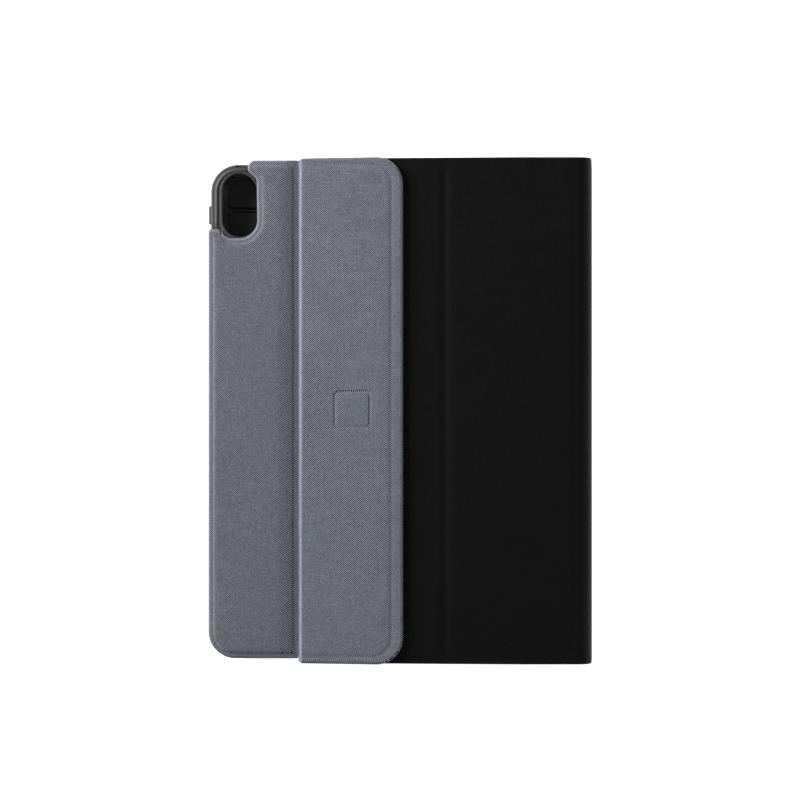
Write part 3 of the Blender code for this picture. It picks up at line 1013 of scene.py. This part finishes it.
@dataclass
class Cover:
    """The leatherette cover in one run: over the back, down the spine and under the keyboard."""

    front: float = -50.6
    top: float = 20.3
    half_front: float = 129.0
    half_rear: float = 129.75
    crease: float = 23.0
    upper_bend: float = 8.0
    lower_bend: float = 4.5
    skin: float = 0.9
    base_corner: float = 16.0
    proud: float = 0.5
    board_line: tuple = (126.4, 87.6, 8.6)
    rims: Array = field(default_factory=lambda: np.array([0.06, 0.3, 0.65, 1.0, 1.25, 1.43, 1.6, 2.4]))
    path: FoldPath = field(init=False)
    marks: dict = field(init=False)

    def __post_init__(self) -> None:
        """Works out the path from the frame's box of each skin."""
        rear = limits("spine_skin")[1][1] + self.proud
        self.base = limits("front_skin")
        self.half_base = self.base[0][1]
        to_bend = rear - self.upper_bend - self.front
        spine = self.top - self.upper_bend - self.lower_bend
        under = rear - self.lower_bend - self.base[1][0]
        quarter = math.pi / 2
        self.path = FoldPath(
            (self.front, self.top),
            (
                (to_bend, 0.0),
                (quarter * self.upper_bend, -90.0),
                (spine, 0.0),
                (quarter * self.lower_bend, -90.0),
                (under, 0.0),
            ),
        )
        spine_start = to_bend + quarter * self.upper_bend
        base_start = spine_start + spine + quarter * self.lower_bend
        self.marks = {
            "crease": self.crease - self.front,
            "bend": to_bend,
            "spine": spine_start,
            "spine_end": spine_start + spine,
            "base": base_start,
            "end": base_start + under,
        }

    def outline(self) -> Array:
        """The cover laid flat: slightly wider to the rear, narrower under the keyboard."""
        marks = self.marks
        right = [
            (self.half_front, 0.0),
            (self.half_rear, marks["bend"] - 30),
            (self.half_rear, marks["spine_end"] - 1),
            (self.half_base, marks["base"] + 4),
            (self.half_base, marks["end"]),
        ]
        radii = [2.0, 60.0, 5.0, 5.0, self.base_corner]
        left = [(-x, s) for x, s in right[::-1]]
        return filleted(right + left, radii + radii[::-1], 3.0, 5.0)

    def strip(self, loop: Array, low: float, high: float) -> Array:
        """The part of the outline between two distances along the path, closed straight across."""
        right = loop[loop[:, 0] > 0]
        right = right[np.argsort(right[:, 1], kind="stable")]
        along = np.unique(np.clip(right[:, 1], low, high).round(4))
        across = np.interp(along, right[:, 1], right[:, 0])
        across = np.where(along <= right[0, 1] + 1e-3, self.half_front - 2.0, across)
        across = np.where(along >= right[-1, 1] - 1e-3, self.half_base - self.base_corner, across)
        side = np.stack([across, along], 1)
        inward = np.stack([-self.rims, np.zeros(len(self.rims))], 1)
        right = np.concatenate([(side[0] + inward)[::-1], side, side[-1] + inward])
        return subdivided(np.concatenate([right, (right * (-1, 1))[::-1]]), 3.0)

    def thickness(self, along: Array) -> Array:
        """The hem's thickness: full over the panels, thin at the crease, the spine and its hinges."""
        marks = self.marks
        over = 2.1 - 0.9 * ridge(along - marks["crease"], 1.6)
        at_spine = smooth(marks["bend"] - 1, marks["bend"] + 8, along)
        at_base = smooth(marks["base"] + 1.0, marks["base"] + 5.0, along)
        return over + (1.2 - over) * at_spine + (self.base[2][1] - 1.2) * at_base

    def heights(self, loop: Array) -> Callable[[Array, Array], tuple[Array, Array]]:
        """The depths of the outer and inner face, in from the path.

        The edge is a bullnose as thick as the hem. Past the hem the inner face drops back to the skin.
        The outer face dips along the crease, and steps down a little outside the board below it.
        """
        half_x, rear, corner = self.board_line
        x, start = (-half_x, half_x), (0, self.front)
        rear_board = rectangle(x, (self.crease + 2.6, rear), (2, 2, corner, corner)) - start
        mid_board = rectangle(x, (self.front + 2.0, self.crease - 2.6), (2,) * 4) - start

        def measure(points: Array, depth: Array) -> tuple[Array, Array]:
            """Both faces at plan points."""
            along = points[:, 1]
            thick = self.thickness(along)
            rise = bullnose(depth, 1.0)
            outer = thick / 2 * (1 - rise)
            inner = thick / 2 * (1 + rise) - (thick - self.skin) * smooth(1.25, 1.6, depth)
            boards = (smooth(-0.9, 0.5, signed(points, board)) for board in (rear_board, mid_board))
            on_board = np.maximum(*boards)
            on_top = 1 - smooth(self.marks["bend"] + 2, self.marks["bend"] + 8, along)
            dip = 0.18 * (1 - on_board) * on_top + 0.18 * ridge(along - self.marks["crease"], 1.0)
            slack = 0.05 * np.sin(points[:, 0] / 17 + 1) * np.sin(along / 13) * on_top
            return outer + (dip + slack) * bullnose(depth, 3.0), inner

        return measure

    def part(self, loop: Array, low: float, high: float, rows: Sequence[float]) -> Shape:
        """One strip of the cover, with closer rows of points where it bends."""
        plan = self.strip(loop, low, high)
        rims = rim_points([loop], self.rims)
        cut_low = low + 0.4 if low > 0 else -1.0
        cut_high = high - 0.4 if high < self.marks["end"] else high + 1.0
        rims = rims[(rims[:, 1] > cut_low) & (rims[:, 1] < cut_high)]
        across = (-self.half_rear + 3.3, self.half_rear - 3.3)
        spread = lattice(across, (low, high), (4.6, 4.6))
        rows = np.asarray(rows)
        rows = rows[(rows > low) & (rows < high)]
        bent = lines(across, rows, 4.6)
        near_row = np.abs(spread[:, 1][:, None] - rows).min(1) < 1.0
        extra = np.concatenate([spread[~near_row], bent])
        extra = np.concatenate([rims, extra[signed(extra, loop) > 3.2]])
        return sheet([plan], extra, self.heights(loop), self.path.place, [loop], keep_off=0.05)

    def build(self) -> None:
        """Makes the three strips and the boards that line them."""
        marks, loop = self.marks, self.outline()
        over_end, spine_middle = 60 - self.front, (marks["spine"] + marks["spine_end"]) / 2
        creases = marks["crease"] + np.array([-4, -2.6, -1.8, -1.2, -0.6, 0, 0.6, 1.2, 1.8, 2.6, 4])
        board_rows = 87.6 - self.front + np.array([-1.2, -0.6, 0, 0.6, 1.2])
        upper = np.concatenate([board_rows, np.linspace(marks["bend"], marks["spine"], 16)])
        lower = np.concatenate([
            np.linspace(marks["spine_end"], marks["base"], 14),
            marks["base"] + np.array([1, 2, 3, 4, 5, 7]),
        ])
        over = self.part(loop, 0.0, over_end, creases)
        ends = ((self.crease - 1.5, self.top), (self.crease + 1.5, self.top))
        bending(over, "cover_over_tray", COVER, (Body.TRAY, Body.PROP), ends, "mid_skin")
        behind = self.part(loop, over_end, spine_middle, upper)
        ends = ((92.5, self.top), (98.1, 13.5))
        bending(behind, "cover_prop_and_spine", COVER, (Body.PROP, Body.SPINE), ends, "prop_skin")
        under = self.part(loop, spine_middle, marks["end"], lower)
        bodies, ends = (Body.SPINE, Body.BASE), ((98.1, 5.6), (91.5, 0.2))
        bending(under, "cover_spine_and_base", COVER, bodies, ends, "spine_skin", "front_skin")
        self.linings()

    def linings(self) -> None:
        """Makes the brushed boards on the inner side of the cover's three panels."""
        z = (limits("mid_skin")[2][0] + 0.05, self.top - self.skin - 0.05)
        inset = self.half_front - 1.9
        mid_y = (self.front + 1.9, self.crease - 1.2)
        mid = slab((-inset, inset), mid_y, z, (1,) * 4, 0.5)
        riding(mid, "mid_lining", LINING, Body.TRAY.value, "mid_board")
        inset = self.half_rear - 2.0
        prop_y = (self.crease + 1.2, 90.0)
        prop = slab((-inset, inset), prop_y, z, (1, 1, 7, 7), 0.5)
        riding(prop, "prop_lining", LINING, Body.PROP.value, "prop_board")
        x, y, z = limits("spine_board")
        upright = slab(x, z, (-y[1] - 0.25, -y[0] - 0.25), (1,) * 4, 0.4).facing(1, -1)
        riding(upright, "spine_lining", LINING, Body.SPINE.value, "spine_board")


@dataclass
class WovenPanels:
    """The woven panel on the tray's back, the woven flap, and the fold of cloth between them."""

    field_top: float = 20.0
    rim: float = 2.4
    fold_y: float = -51.9
    square: tuple = (-0.6, -24.3, 18.0)
    line: float = 1.4
    band: tuple = (3.5, 6.6)

    def notched(self) -> Array:
        """The panel's outline, cut away round the camera window and the tray's bare corner."""
        corners = (
            (-128.2, self.fold_y), (-128.2, -77.8), *NOTCH, (-92.8, -98.1), (126.7, -98.1),
            (126.7, self.fold_y),
        )
        return filleted(corners, (1.0, 3.8, *NOTCH_RADII, 1.5, 14.0, 1.0), 3.0)

    def panel(self) -> None:
        """Makes the panel: its field stands over a pressed rim, and slopes down to the fold."""
        loop = self.notched()
        low = limits("fabric_panel")[2][0]

        def heights(points: Array, depth: Array) -> tuple[Array, Array]:
            """Both faces: a bullnose, then a step up to the field, less the slope to the fold."""
            middle = low + 0.35
            rise = bullnose(depth, 1.7)
            field_height = self.field_top - low - 1.15
            step = smooth(self.rim - 0.6, self.rim + 1.3, depth)
            slope = np.clip((points[:, 1] - self.fold_y) / 11.0 + 1, 0, 1) ** 1.5
            wave = 0.04 * np.sin(points[:, 0] / 21) * np.sin(points[:, 1] / 9)
            top = middle + rise * 0.80 + step * (field_height + wave)
            top = top - 0.12 * ridge(depth - self.rim, 0.5)
            top = middle + (top - middle) * (1 - 0.97 * slope)
            return top, middle - 0.35 * bullnose(depth, 0.5)

        rings = rim_points([loop], (0.04, 0.16, 0.4, 0.75, 1.2, 1.7, 2.1, 2.4, 2.8, 3.2, 3.7))
        extra = np.concatenate([rings, lattice((-127, 126), (-97, -53), (3.4, 2.0))])
        extra = extra[inside(extra, loop)]
        near_field = distance(extra, loop) > 4.2
        extra = np.concatenate([rings, extra[near_field]])
        shape = sheet([loop], extra, heights, flat, keep_off=0.04)
        # Keeps the painted edge highlight off the fold and the +x side, which face away from the key
        # light.
        shape.edge[(shape.points[:, 1] > self.fold_y - 4) | (shape.points[:, 0] > 118)] = FAR
        riding(shape, "woven_panel", SHADED_PANEL_CLOTH, Body.TRAY.value, "fabric_panel")

    def flap(self) -> None:
        """Makes the flap: a wrapped board with pressed bands and a sunk square line, and its lining."""
        x, y, z = limits("flap_skin")
        y = (y[0] + 0.35, y[1])
        bulge, free = x[1] + 0.55, y[1] - 0.4
        corners = (
            (x[0] + 0.1, y[0]), (x[1] - 0.1, y[0]), (bulge, -12),
            (x[1] + 0.1, free), (x[0] - 0.1, free), (-bulge, -12),
        )
        loop = filleted(corners, (1.5, 1.5, 80, 13.5, 13.5, 80), 3.0)
        side, right = self.band
        inner = rectangle((x[0] + side, x[1] - side), (y[0] - 30, y[1] - right), (1, 1, 9.5, 9.5), 3.0)
        middle_x, middle_y, size = self.square
        reach = size / 2
        sides = grown((middle_x,) * 2, reach), grown((middle_y,) * 2, reach)
        square = rectangle(*sides, (2.2,) * 4, 1.0, 10)
        thick = (z[1] - z[0]) / 2

        def heights(points: Array, depth: Array) -> tuple[Array, Array]:
            """Both faces: a bullnose, a valley by the bands, a sunk square and a hollow underside."""
            rise = bullnose(depth, 1.5, 2.0)
            band = signed(points, inner)
            groove = smooth(self.line / 2 + 0.25, self.line / 2 - 0.35, distance(points, square))
            wave = 0.05 * np.sin(points[:, 0] / 26 + 2) * np.sin(points[:, 1] / 12)
            top = z[0] + thick * (1 + rise) - 0.10 + wave * rise
            top = top - 0.17 * ridge(band + 0.2, 0.8) * rise + 0.10 * smooth(-0.5, 2.5, band) * rise
            low = z[0] + thick * (1 - rise) + (2 * thick - 0.95) * smooth(1.35, 1.7, depth)
            return top - 0.22 * groove, low

        rings = rim_points([loop], (0.05, 0.2, 0.5, 0.9, 1.35, 1.5, 1.7, 2.3))
        valley = np.concatenate([offset(inner, by) for by in (-1.6, -0.9, -0.4, 0, 0.5, 1.2, 2.4)])
        beside = (-1.3, -0.95, -0.6, -0.3, 0, 0.3, 0.6, 0.95, 1.3)
        grooves = np.concatenate([offset(square, by) for by in beside])
        spread = lattice(x, y, (4.0, 4.0))
        spread = spread[(distance(spread, inner) > 2.6) & (distance(spread, square) > 1.8)]
        inward = np.concatenate([valley, spread])
        inward = inward[signed(inward, loop) > 2.5]
        shape = sheet([loop], np.concatenate([rings, inward, grooves]), heights, flat, keep_off=0.05)
        # Keeps the painted edge highlight to the flap's -y edge, which faces the key light.
        shape.edge[shape.points[:, 1] > y[0] + 4] = FAR
        riding(shape, "woven_flap", WOVEN, Body.FLAP.value, "flap_skin")
        low = z[0] + 0.02
        lining = slab(grown(x, -1.95), grown(y, -1.95), (low, z[1] - 1.05), (1, 1, 12, 12), 0.5)
        riding(lining, "flap_lining", LINING, Body.FLAP.value, "flap_board")

    def hinge(self) -> None:
        """Makes the strip of cloth that rises from the panel's edge to the flap's."""
        half, thin, lean, rise = 128.4, 0.22, 0.4, 2.6
        rows = np.linspace(0, 1, 9)
        y = -51.75 + lean * rows**1.5
        z = 18.30 + rise * rows
        front = np.stack([y - thin * (1 - rows), z + thin * rows], 1)
        back = np.stack([y + thin * (1 - rows) + 0.1, z - thin * rows], 1)
        ring = np.concatenate([front, back[::-1]])
        across, size = np.linspace(-half, half, 60), len(ring)
        points = np.concatenate([np.column_stack([np.full(size, at), ring]) for at in across])
        last = (len(across) - 1) * size
        ends = [list(range(size))[::-1], list(range(last, last + size))]
        shape = Shape(points, tube_faces(len(across), size) + ends, np.full(len(points), 3.0))
        ends = ((-51.9, 19.0), (-51.7, 20.8))
        bending(shape, "flap_hinge_cloth", SHADED_PANEL_CLOTH, (Body.TRAY, Body.FLAP), ends)

    def build(self) -> None:
        """Makes the three woven pieces."""
        self.panel()
        self.flap()
        self.hinge()


@dataclass
class Tray:
    """The soft tray: a wall round the tablet's bay, a back with the camera window, and button covers."""

    radius: float = 14.0
    wall: float = 2.0
    lip: float = 4.4
    joint_depth: float = 3.4
    window: tuple = (-105.1, -82.15)
    window_size: tuple = (32.5, 17.4)
    back: float = 17.9
    notch: tuple = ((-84.2, -77.6), (16.0, 22.0))

    def corner_loop(self) -> Array:
        """The bare corner's outline: where the woven panel is cut away."""
        corners = ((-140, -110), (-92.8, -110), *NOTCH[::-1], (-140, -77.8))
        return filleted(corners, (1, 1, *NOTCH_RADII[::-1], 1), 3.0)

    def lifted(self, points: Array, loop: Array, corner: Array, hole: Array) -> Array:
        """The back's points with the bare corner raised: a pad, a ridge by its edge and a window rim."""
        top = points[:, 2] > self.back - 0.6
        plan = points[:, :2]
        pad = smooth(-0.5, 0.5, signed(plan, corner))
        depth = signed(plan, loop)
        rim = np.abs(-signed(plan, hole))
        lift = 0.38 + 0.55 * ridge(depth - 3.0, 0.65) + 0.32 * ridge(rim - 0.5, 0.7)
        part = smooth(self.back - 0.9, self.back, points[:, 2])
        moved = points.copy()
        moved[:, 2] += np.where(top, lift * pad * part, 0)
        return moved

    def shell(self) -> Shape:
        """The wall's section carried round the tray, closed by the back's two faces and its window.

        The section runs from the back's inner face down the bay's wall, round the lip that holds the
        tablet's face, up the outside, and back over the top. Each of its points is (depth from the
        outside, height), and the ring at a depth is the outline drawn in by it.
        """
        x, y, z = limits("tray_shell")
        bottom, back = z[0], self.back
        loop = rectangle(x, y, (self.radius,) * 4, 2.2, 4.0)
        bay, wall, lip = back - 1.1, self.wall, self.lip
        section = [
            (self.joint_depth, bay), (wall + 0.5, bay), (wall + 0.1, bay - 0.1), (wall, bay - 0.5),
            (wall, bottom + 1.4), (wall + 0.1, bottom + 1.0), (wall + 0.5, bottom + 0.9),
            (lip - 0.3, bottom + 0.9), (lip - 0.07, bottom + 0.8), (lip, bottom + 0.55),
            (lip - 0.05, bottom + 0.25), (lip - 0.3, bottom + 0.03), (lip - 0.7, bottom),
            (1.7, bottom), (1.0, bottom + 0.12), (0.45, bottom + 0.45), (0.12, bottom + 1.0),
            (0.0, bottom + 1.8), (0.0, back - 1.2), (0.06, back - 0.75), (0.2, back - 0.4),
            (0.45, back - 0.15), (0.8, back - 0.03), (1.3, back), (1.9, back), (2.3, back),
            (2.65, back), (3.0, back), (self.joint_depth, back),
        ]
        count = len(loop)
        rings = [
            np.column_stack([offset(loop, inset), np.full(count, height)]) for inset, height in section
        ]
        points = np.stack(rings, 1).reshape(-1, 3)
        edge = np.tile([min(abs(height - bottom), abs(height - back)) for _, height in section], count)
        sides = Shape(points, grid_faces(count, len(section)), edge)
        hole = stadium(self.window, *self.window_size, 1.5, 6.0)
        seam = rings[-1][:, :2]
        around = np.concatenate([offset(hole, -by) for by in (0.2, 0.5, 0.9, 1.4, 2.0)])
        corner = self.corner_loop()
        steps = np.concatenate([offset(corner, by) for by in (-0.5, -0.2, 0.1, 0.4)])
        spread = lattice((x[0] + 9, x[1] - 9), (y[0] + 9, y[1] - 9), (9.0, 9.0))
        spread = spread[(distance(spread, corner) > 1.2) & (distance(spread, hole) > 2.6)]
        crest = np.concatenate([offset(seam, by) for by in (0.35, 0.7, 1.1, 1.6, 2.3, 3.2)])
        crest = crest[(signed(crest, corner) > -1.0) & (distance(crest, hole) > 0.3)]
        extra = np.concatenate([around, steps, spread, crest])
        extra = extra[signed(extra, seam) > 0.5]

        def heights(plan: Array, _: Array) -> tuple[Array, Array]:
            """The back's two faces, flat here."""
            return np.full(len(plan), back), np.full(len(plan), bay)

        across = sheet([seam, hole], extra, heights, flat, [hole], keep_off=0.15, open_loops=1)
        whole = sides.add(across)
        whole.points = self.lifted(whole.points, loop, corner, hole)
        return whole

    def slots(self) -> list[tuple]:
        """Each slot through a wall: the side of the tray, its middle along the wall, and its length."""
        _, y, _ = limits("tray_shell")
        middle = (y[0] + y[1]) / 2
        return [
            ("left", -80.5, 7.4), ("right", middle, 15.0), ("left", middle + 62, 24.0),
            ("right", middle - 62, 24.0), ("right", middle + 62, 24.0),
        ]

    def cutters(self) -> Shape:
        """What is cut from the walls: round-ended slots, a notch by the top button, button openings."""
        x, y, _ = limits("tray_shell")
        cutters = EMPTY
        for side, along, length in self.slots():
            prism = lofted(stadium((along, 13.5), length, 4.4, 4.0, 12.0), ((0, -3.0), (0, 1.5)))
            cutters = cutters.add(prism.facing(0, *((-1, x[0]) if side == "left" else (1, x[1]))))
        loop = rectangle(*self.notch, (0.6,) * 4, 4.0, 15.0)
        cutters = cutters.add(lofted(loop, ((0, -1.5), (0, 1.5))).facing(0, -1, x[0]))
        for node in BUTTONS:
            across, _, height = limits(node)
            loop = rectangle(grown(across, 0.3), grown(height, 0.3), (1.3,) * 4, 4.0, 15.0)
            cutters = cutters.add(lofted(loop, ((0, -1.5), (0, 3.0))).facing(1, 1, y[0]))
        return cutters

    def covers(self) -> None:
        """Makes the two soft pill-shaped button covers."""
        for node, body in BUTTONS.items():
            across, deep, height = limits(node)
            loop = rectangle(across, height, (1.2,) * 4, 2.0, 10.0)
            reach = deep[1] - deep[0]
            levels = (
                (0.1, 0.0), (0.0, 0.15), (0.0, reach - 0.75), (0.12, reach - 0.35), (0.4, reach - 0.1),
                (0.8, reach),
            )
            shape = lofted(loop, levels, -0.04).facing(1, -1, deep[1])
            riding(shape, f"{node}_pad", SHELL, body.value, node)

    def build(self) -> None:
        """Makes the tray and its covers."""
        carved(self.shell(), self.cutters(), "tray", SHELL, Body.TRAY, "tray_shell", 45.0)
        self.covers()


@dataclass
class Keyboard:
    """The keyboard: a case, a deck with an opening for each key, the keycaps and what shows beside."""

    pitch: float = 17.2
    units: int = 14
    gap: float = 2.2
    function_pitch: float = 11.0
    front: float = -89.0
    clearance: float = 0.45

    def rows(self) -> list[tuple]:
        """Each row's depth and its runs of keys, from the front: a node's name and its keys' widths."""

        def letters(row: str) -> list[tuple]:
            """A one-unit key for each letter."""
            return [(f"key_{letter}", (1,)) for letter in row]

        front = [
            ("bank_modifiers_left", (1, 1, 1, 1.25)), ("key_space", (5,)),
            ("bank_arrows", (1, 0.75, 1, 1, 1)),
        ]
        return [
            (self.pitch, front),
            (self.pitch, [("key_shift", (2,)), *letters("zxcvbnm"), ("bank_comma_to_up", (1,) * 5)]),
            (self.pitch, [("key_caps_lock", (1.5,)), *letters("asdfghjkl"),
                          ("bank_semicolon_to_enter", (1, 1, 1.5))]),
            (self.pitch, [("key_tab", (1.25,)), *letters("qwertyuiop"), ("bank_brackets", (1, 1, 0.75))]),
            (self.pitch, [("bank_numbers", (1,) * 12 + (2,))]),
            (self.function_pitch, [("bank_function", (1,) * 14)]),
        ]

    def runs(self) -> list[tuple[str, list]]:
        """Every run of keys as its node's name and each cap's extent across and along."""
        found, front = [], self.front
        for depth, runs in self.rows():
            start = -self.units / 2 * self.pitch
            for name, widths in runs:
                plans = []
                for width in widths:
                    across = (start + self.gap / 2, start + width * self.pitch - self.gap / 2)
                    plans.append((across, (front + self.gap / 2, front + depth - self.gap / 2)))
                    start += width * self.pitch
                found.append((name, plans))
            front += depth
        return found

    def caps(self) -> None:
        """Makes each key: a cap that leans in to a rounded rim and a dished top."""
        for name, plans in self.runs():
            _, _, (low, top) = limits(name)
            shape = EMPTY
            for across, along in plans:
                loop = rectangle(across, along, (1.3,) * 4, 30.0, 18.0)
                levels = (
                    (0, low), (0, top - 1.0), (0.05, top - 0.6), (0.18, top - 0.3), (0.4, top - 0.1),
                    (0.7, top - 0.02), (1.1, top),
                )
                dish = 0.0 if name == "key_space" else 0.12
                shape = shape.add(lofted(loop, levels, dish))
            if len(plans) > 1:
                across = (plans[0][0][0] + 2, plans[-1][0][1] - 2)
                middle = sum(plans[0][1]) / 2
                web = rectangle(across, (middle - 2, middle + 2), (0.5,) * 4, 30.0, 45.0)
                shape = shape.add(lofted(web, ((0, low + 0.05), (0, low + 0.5))))
            riding(shape, f"{name}_cap", KEYCAP, name, name)

    def deck(self) -> None:
        """Makes the deck: a thin plate with rolled edges outside and round each key's opening."""
        x, y, z = limits("key_deck")
        outer = rectangle(x, y, (14, 14, 2, 2), 4.0)
        holes = [
            rectangle(*(grown(side, self.clearance) for side in plan), (1.6,) * 4, 30.0, 22.5)
            for _, plans in self.runs() for plan in plans
        ]
        lens_x, lens_y, _ = limits("status_lens")
        centre = (sum(lens_x) / 2, sum(lens_y) / 2)
        holes.append(stadium(centre, 6.0, 3.0, 4.0, 15.0))
        depths = (0.03, 0.12, 0.36)
        rings = rim_points([outer], depths)
        rims = np.concatenate([offset(hole, -by) for hole in holes for by in depths])
        spread = lattice(x, (y[1] - 84, y[1]), (9.0, 9.0))
        extra = np.concatenate([rings, rims, spread])
        shape = sheet([outer, *holes], extra, plate(z, 0.34, 2.0), flat, keep_off=0.02)
        riding(shape, "deck", DECK, Body.BASE.value, "key_deck", sharp=60.0)

    def case(self) -> None:
        """Makes the case: a floor and a wall in one sheet, with slots for the port and the switch."""
        x, y, z = limits("lower_case")
        loop = rectangle(x, y, (14, 14, 2, 2), 3.0)
        floor, wall = 0.8, 1.2

        def heights(_: Array, depth: Array) -> tuple[Array, Array]:
            """A rounded outside, and an inside that drops from the wall's top to the floor."""
            inner = z[1] - 0.25 * (1 - bullnose(depth, 0.25))
            inner = inner - (z[1] - z[0] - floor) * smooth(wall, wall + 0.12, depth)
            return inner, z[1] - 0.25 - (z[1] - z[0] - 0.25) * bullnose(depth, 0.7, 3.0)

        rings = rim_points([loop], (0.01, 0.05, 0.14, 0.3, 0.7, wall, wall + 0.12))
        extra = np.concatenate([rings, lattice(x, y, (12.0, 12.0))])
        shape = sheet([loop], extra, heights, flat, keep_off=0.008)
        port_y, switch_y = limits("charging_port")[1], limits("power_switch")[1]
        tools = EMPTY
        openings = (
            (sum(port_y) / 2, 9.6, 4.95, 3.1),
            (sum(switch_y) / 2 + 1.25, 9.4, 5.0, 1.8),
        )
        for along, length, height, size in openings:
            hole = lofted(stadium((along, height), length, size, 4.0, 15.0), ((0, -2.0), (0, 1.0)))
            tools = tools.add(hole.facing(0, 1, x[1]))
        carved(shape, tools, "keyboard_case", CASE, Body.BASE, "lower_case", 40.0)

    def port(self) -> None:
        """Makes the charging port: a round-ended steel sleeve, and the tongue in it."""
        x, y, z = limits("charging_port")
        centre = (sum(y) / 2, sum(z) / 2)
        loop = stadium(centre, y[1] - y[0], z[1] - z[0], 3.0, 10.0)
        depth = x[1] - x[0]
        levels = ((0, -depth), (0, -0.15), (0.1, 0), (0.28, 0), (0.36, -0.12), (0.36, 0.9 - depth))
        shape = lofted(loop, levels)
        plan = grown((centre[0],) * 2, 3.3), grown((centre[1],) * 2, 0.35)
        tongue = rectangle(*plan, (0.3,) * 4, 9, 30)
        shape = shape.add(lofted(tongue, ((0, 1.0 - depth), (0, -0.9), (0.1, -0.75)))).facing(0, 1, x[1])
        riding(shape, "charging_socket", STEEL, Body.BASE.value, "charging_port")

    def switch(self) -> None:
        """Makes the sliding switch: a foot inside the wall and a knob with ribs to push it by."""
        x, y, z = limits("power_switch")
        foot = rectangle(y, z, (0.3,) * 4, 9, 30)
        knob = rectangle(grown(y, -1.0), grown(z, -0.75), (0.5,) * 4, 9, 15)
        reach = x[1] - x[0]
        shape = lofted(foot, ((0, 0), (0, 1.1), (0.1, 1.2)))
        shape = shape.add(lofted(knob, ((0, 1.1), (0, reach - 0.45), (0.12, reach - 0.25))))
        middle = sum(y) / 2
        for rib in range(-2, 3):
            at = middle + rib * 0.65
            bar = rectangle((at - 0.16, at + 0.16), grown(z, -0.95), (0.1,) * 4, 9, 30)
            shape = shape.add(lofted(bar, ((0, reach - 0.3), (0, reach - 0.08), (0.05, reach))))
        riding(shape.facing(0, 1, x[0]), "switch_knob", KEYCAP, Body.SWITCH.value, "power_switch")

    def lens(self) -> None:
        """Makes the domed insert over the charge light."""
        x, y, z = limits("status_lens")
        loop = stadium((sum(x) / 2, sum(y) / 2), x[1] - x[0], y[1] - y[0], 3.0, 12.0)
        levels = ((0, z[0]), (0, z[1] - 0.12), (0.15, z[1] - 0.03), (0.4, z[1]))
        riding(lofted(loop, levels, -0.05), "charge_light_insert", LENS, Body.BASE.value, "status_lens")

    def inside(self) -> None:
        """Dresses the parts that the case encloses, whose CAD shapes stay."""
        kept = {
            "front_board": BOARD, "key_membrane": RUBBER, "control_board": CIRCUIT,
            "battery_pack": FOIL, "flap_magnet": STEEL,
        }
        for node, finish in kept.items():
            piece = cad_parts[node]
            piece.data.materials.clear()
            piece.data.materials.append(finish.material())
            log.info("%s: kept, in %s", node, finish.name)

    def build(self) -> None:
        """Makes the keyboard's pieces."""
        self.case()
        self.deck()
        self.caps()
        self.port()
        self.switch()
        self.lens()
        self.inside()


# --------------------------------------------------------------------------------------------------
# Studio
# --------------------------------------------------------------------------------------------------


@dataclass
class Studio:
    """The floor, the lights and the camera, which looks down with the case's front to the left."""

    distance: float = 1400.0
    aim_x: float = -5.5
    top: float = 20.3
    half_view: float = 204.4
    surround: float = 0.22
    floor_z: float = -0.4
    floor_reach: float = 2600.0
    key: tuple = ((-0.75, -1.30, 0.54), 0.7, 55.0)
    fill: tuple = ((0.1, 1.35, 0.62), 1.1, 3.0)

    def floor(self) -> None:
        """A wide pale sheet of paper just under the case."""
        side = (-self.floor_reach, self.floor_reach)
        points = lattice(side, side, (400.0, 400.0))
        across = len(np.unique(points[:, 0]))
        height = np.full(len(points), self.floor_z)
        faces = [face[::-1] for face in grid_faces(across, across, False)]
        shape = Shape(np.column_stack([points, height]), faces, height)
        piece = shape.make("floor", Paper("pale paper", Slot.BOARD))

    def light(self, name: str, place: tuple, size: float, power: float) -> None:
        """A soft square light that faces the case's middle, and that the camera doesn't see.

        Args:
            name: its name.
            place: where it stands, in metres.
            size: its side, in metres.
            power: its power in watts.
        """
        data = bpy.data.lights.new(name, "AREA")
        data.size = size
        data.energy = power
        lamp = bpy.data.objects.new(name, data)
        lamp.location = place
        lamp.rotation_euler = (-Vector(place)).to_track_quat("-Z", "Y").to_euler()
        lamp.visible_camera = False
        bpy.context.scene.collection.objects.link(lamp)

    def lights(self) -> None:
        """A low soft key from the front left, a weak fill from the rear and a white-looking surround."""
        self.light("key", *self.key)
        self.light("fill", *self.fill)
        world = bpy.data.worlds.new("surround")
        world.use_nodes = True
        background = world.node_tree.nodes["Background"]
        background.inputs["Color"].default_value = (1.0, 1.0, 1.0, 1.0)
        ray = world.node_tree.nodes.new("ShaderNodeLightPath")
        strength = world.node_tree.nodes.new("ShaderNodeMapRange")
        strength.inputs["To Min"].default_value = self.surround
        strength.inputs["To Max"].default_value = 1.0
        world.node_tree.links.new(ray.outputs["Is Camera Ray"], strength.inputs["Value"])
        world.node_tree.links.new(strength.outputs["Result"], background.inputs["Strength"])
        bpy.context.scene.world = world

    def camera(self) -> None:
        """Straight down, turned so that +y points right, with the half width set at the case's top."""
        data = bpy.data.cameras.new("camera")
        data.sensor_width = 36.0
        data.lens = 18.0 * (self.distance - self.top) / self.half_view
        data.clip_start, data.clip_end = 0.01, 20.0
        camera = bpy.data.objects.new("camera", data)
        camera.location = (self.aim_x * MM, 0.0, self.distance * MM)
        camera.rotation_euler = (0.0, 0.0, math.pi / 2)
        bpy.context.scene.collection.objects.link(camera)
        bpy.context.scene.camera = camera

    def build(self) -> None:
        """Sets the stage, with plain colour handling so that a pale floor stays pale."""
        self.floor()
        self.lights()
        self.camera()
        bpy.context.scene.view_settings.view_transform = "Standard"


def main() -> None:
    """Builds the case from the cover outwards, then the studio."""
    logging.basicConfig(level=logging.INFO, format="%(message)s")
    Cover().build()
    WovenPanels().build()
    Tray().build()
    Keyboard().build()
    Studio().build()


if __name__ == "__main__":
    main()
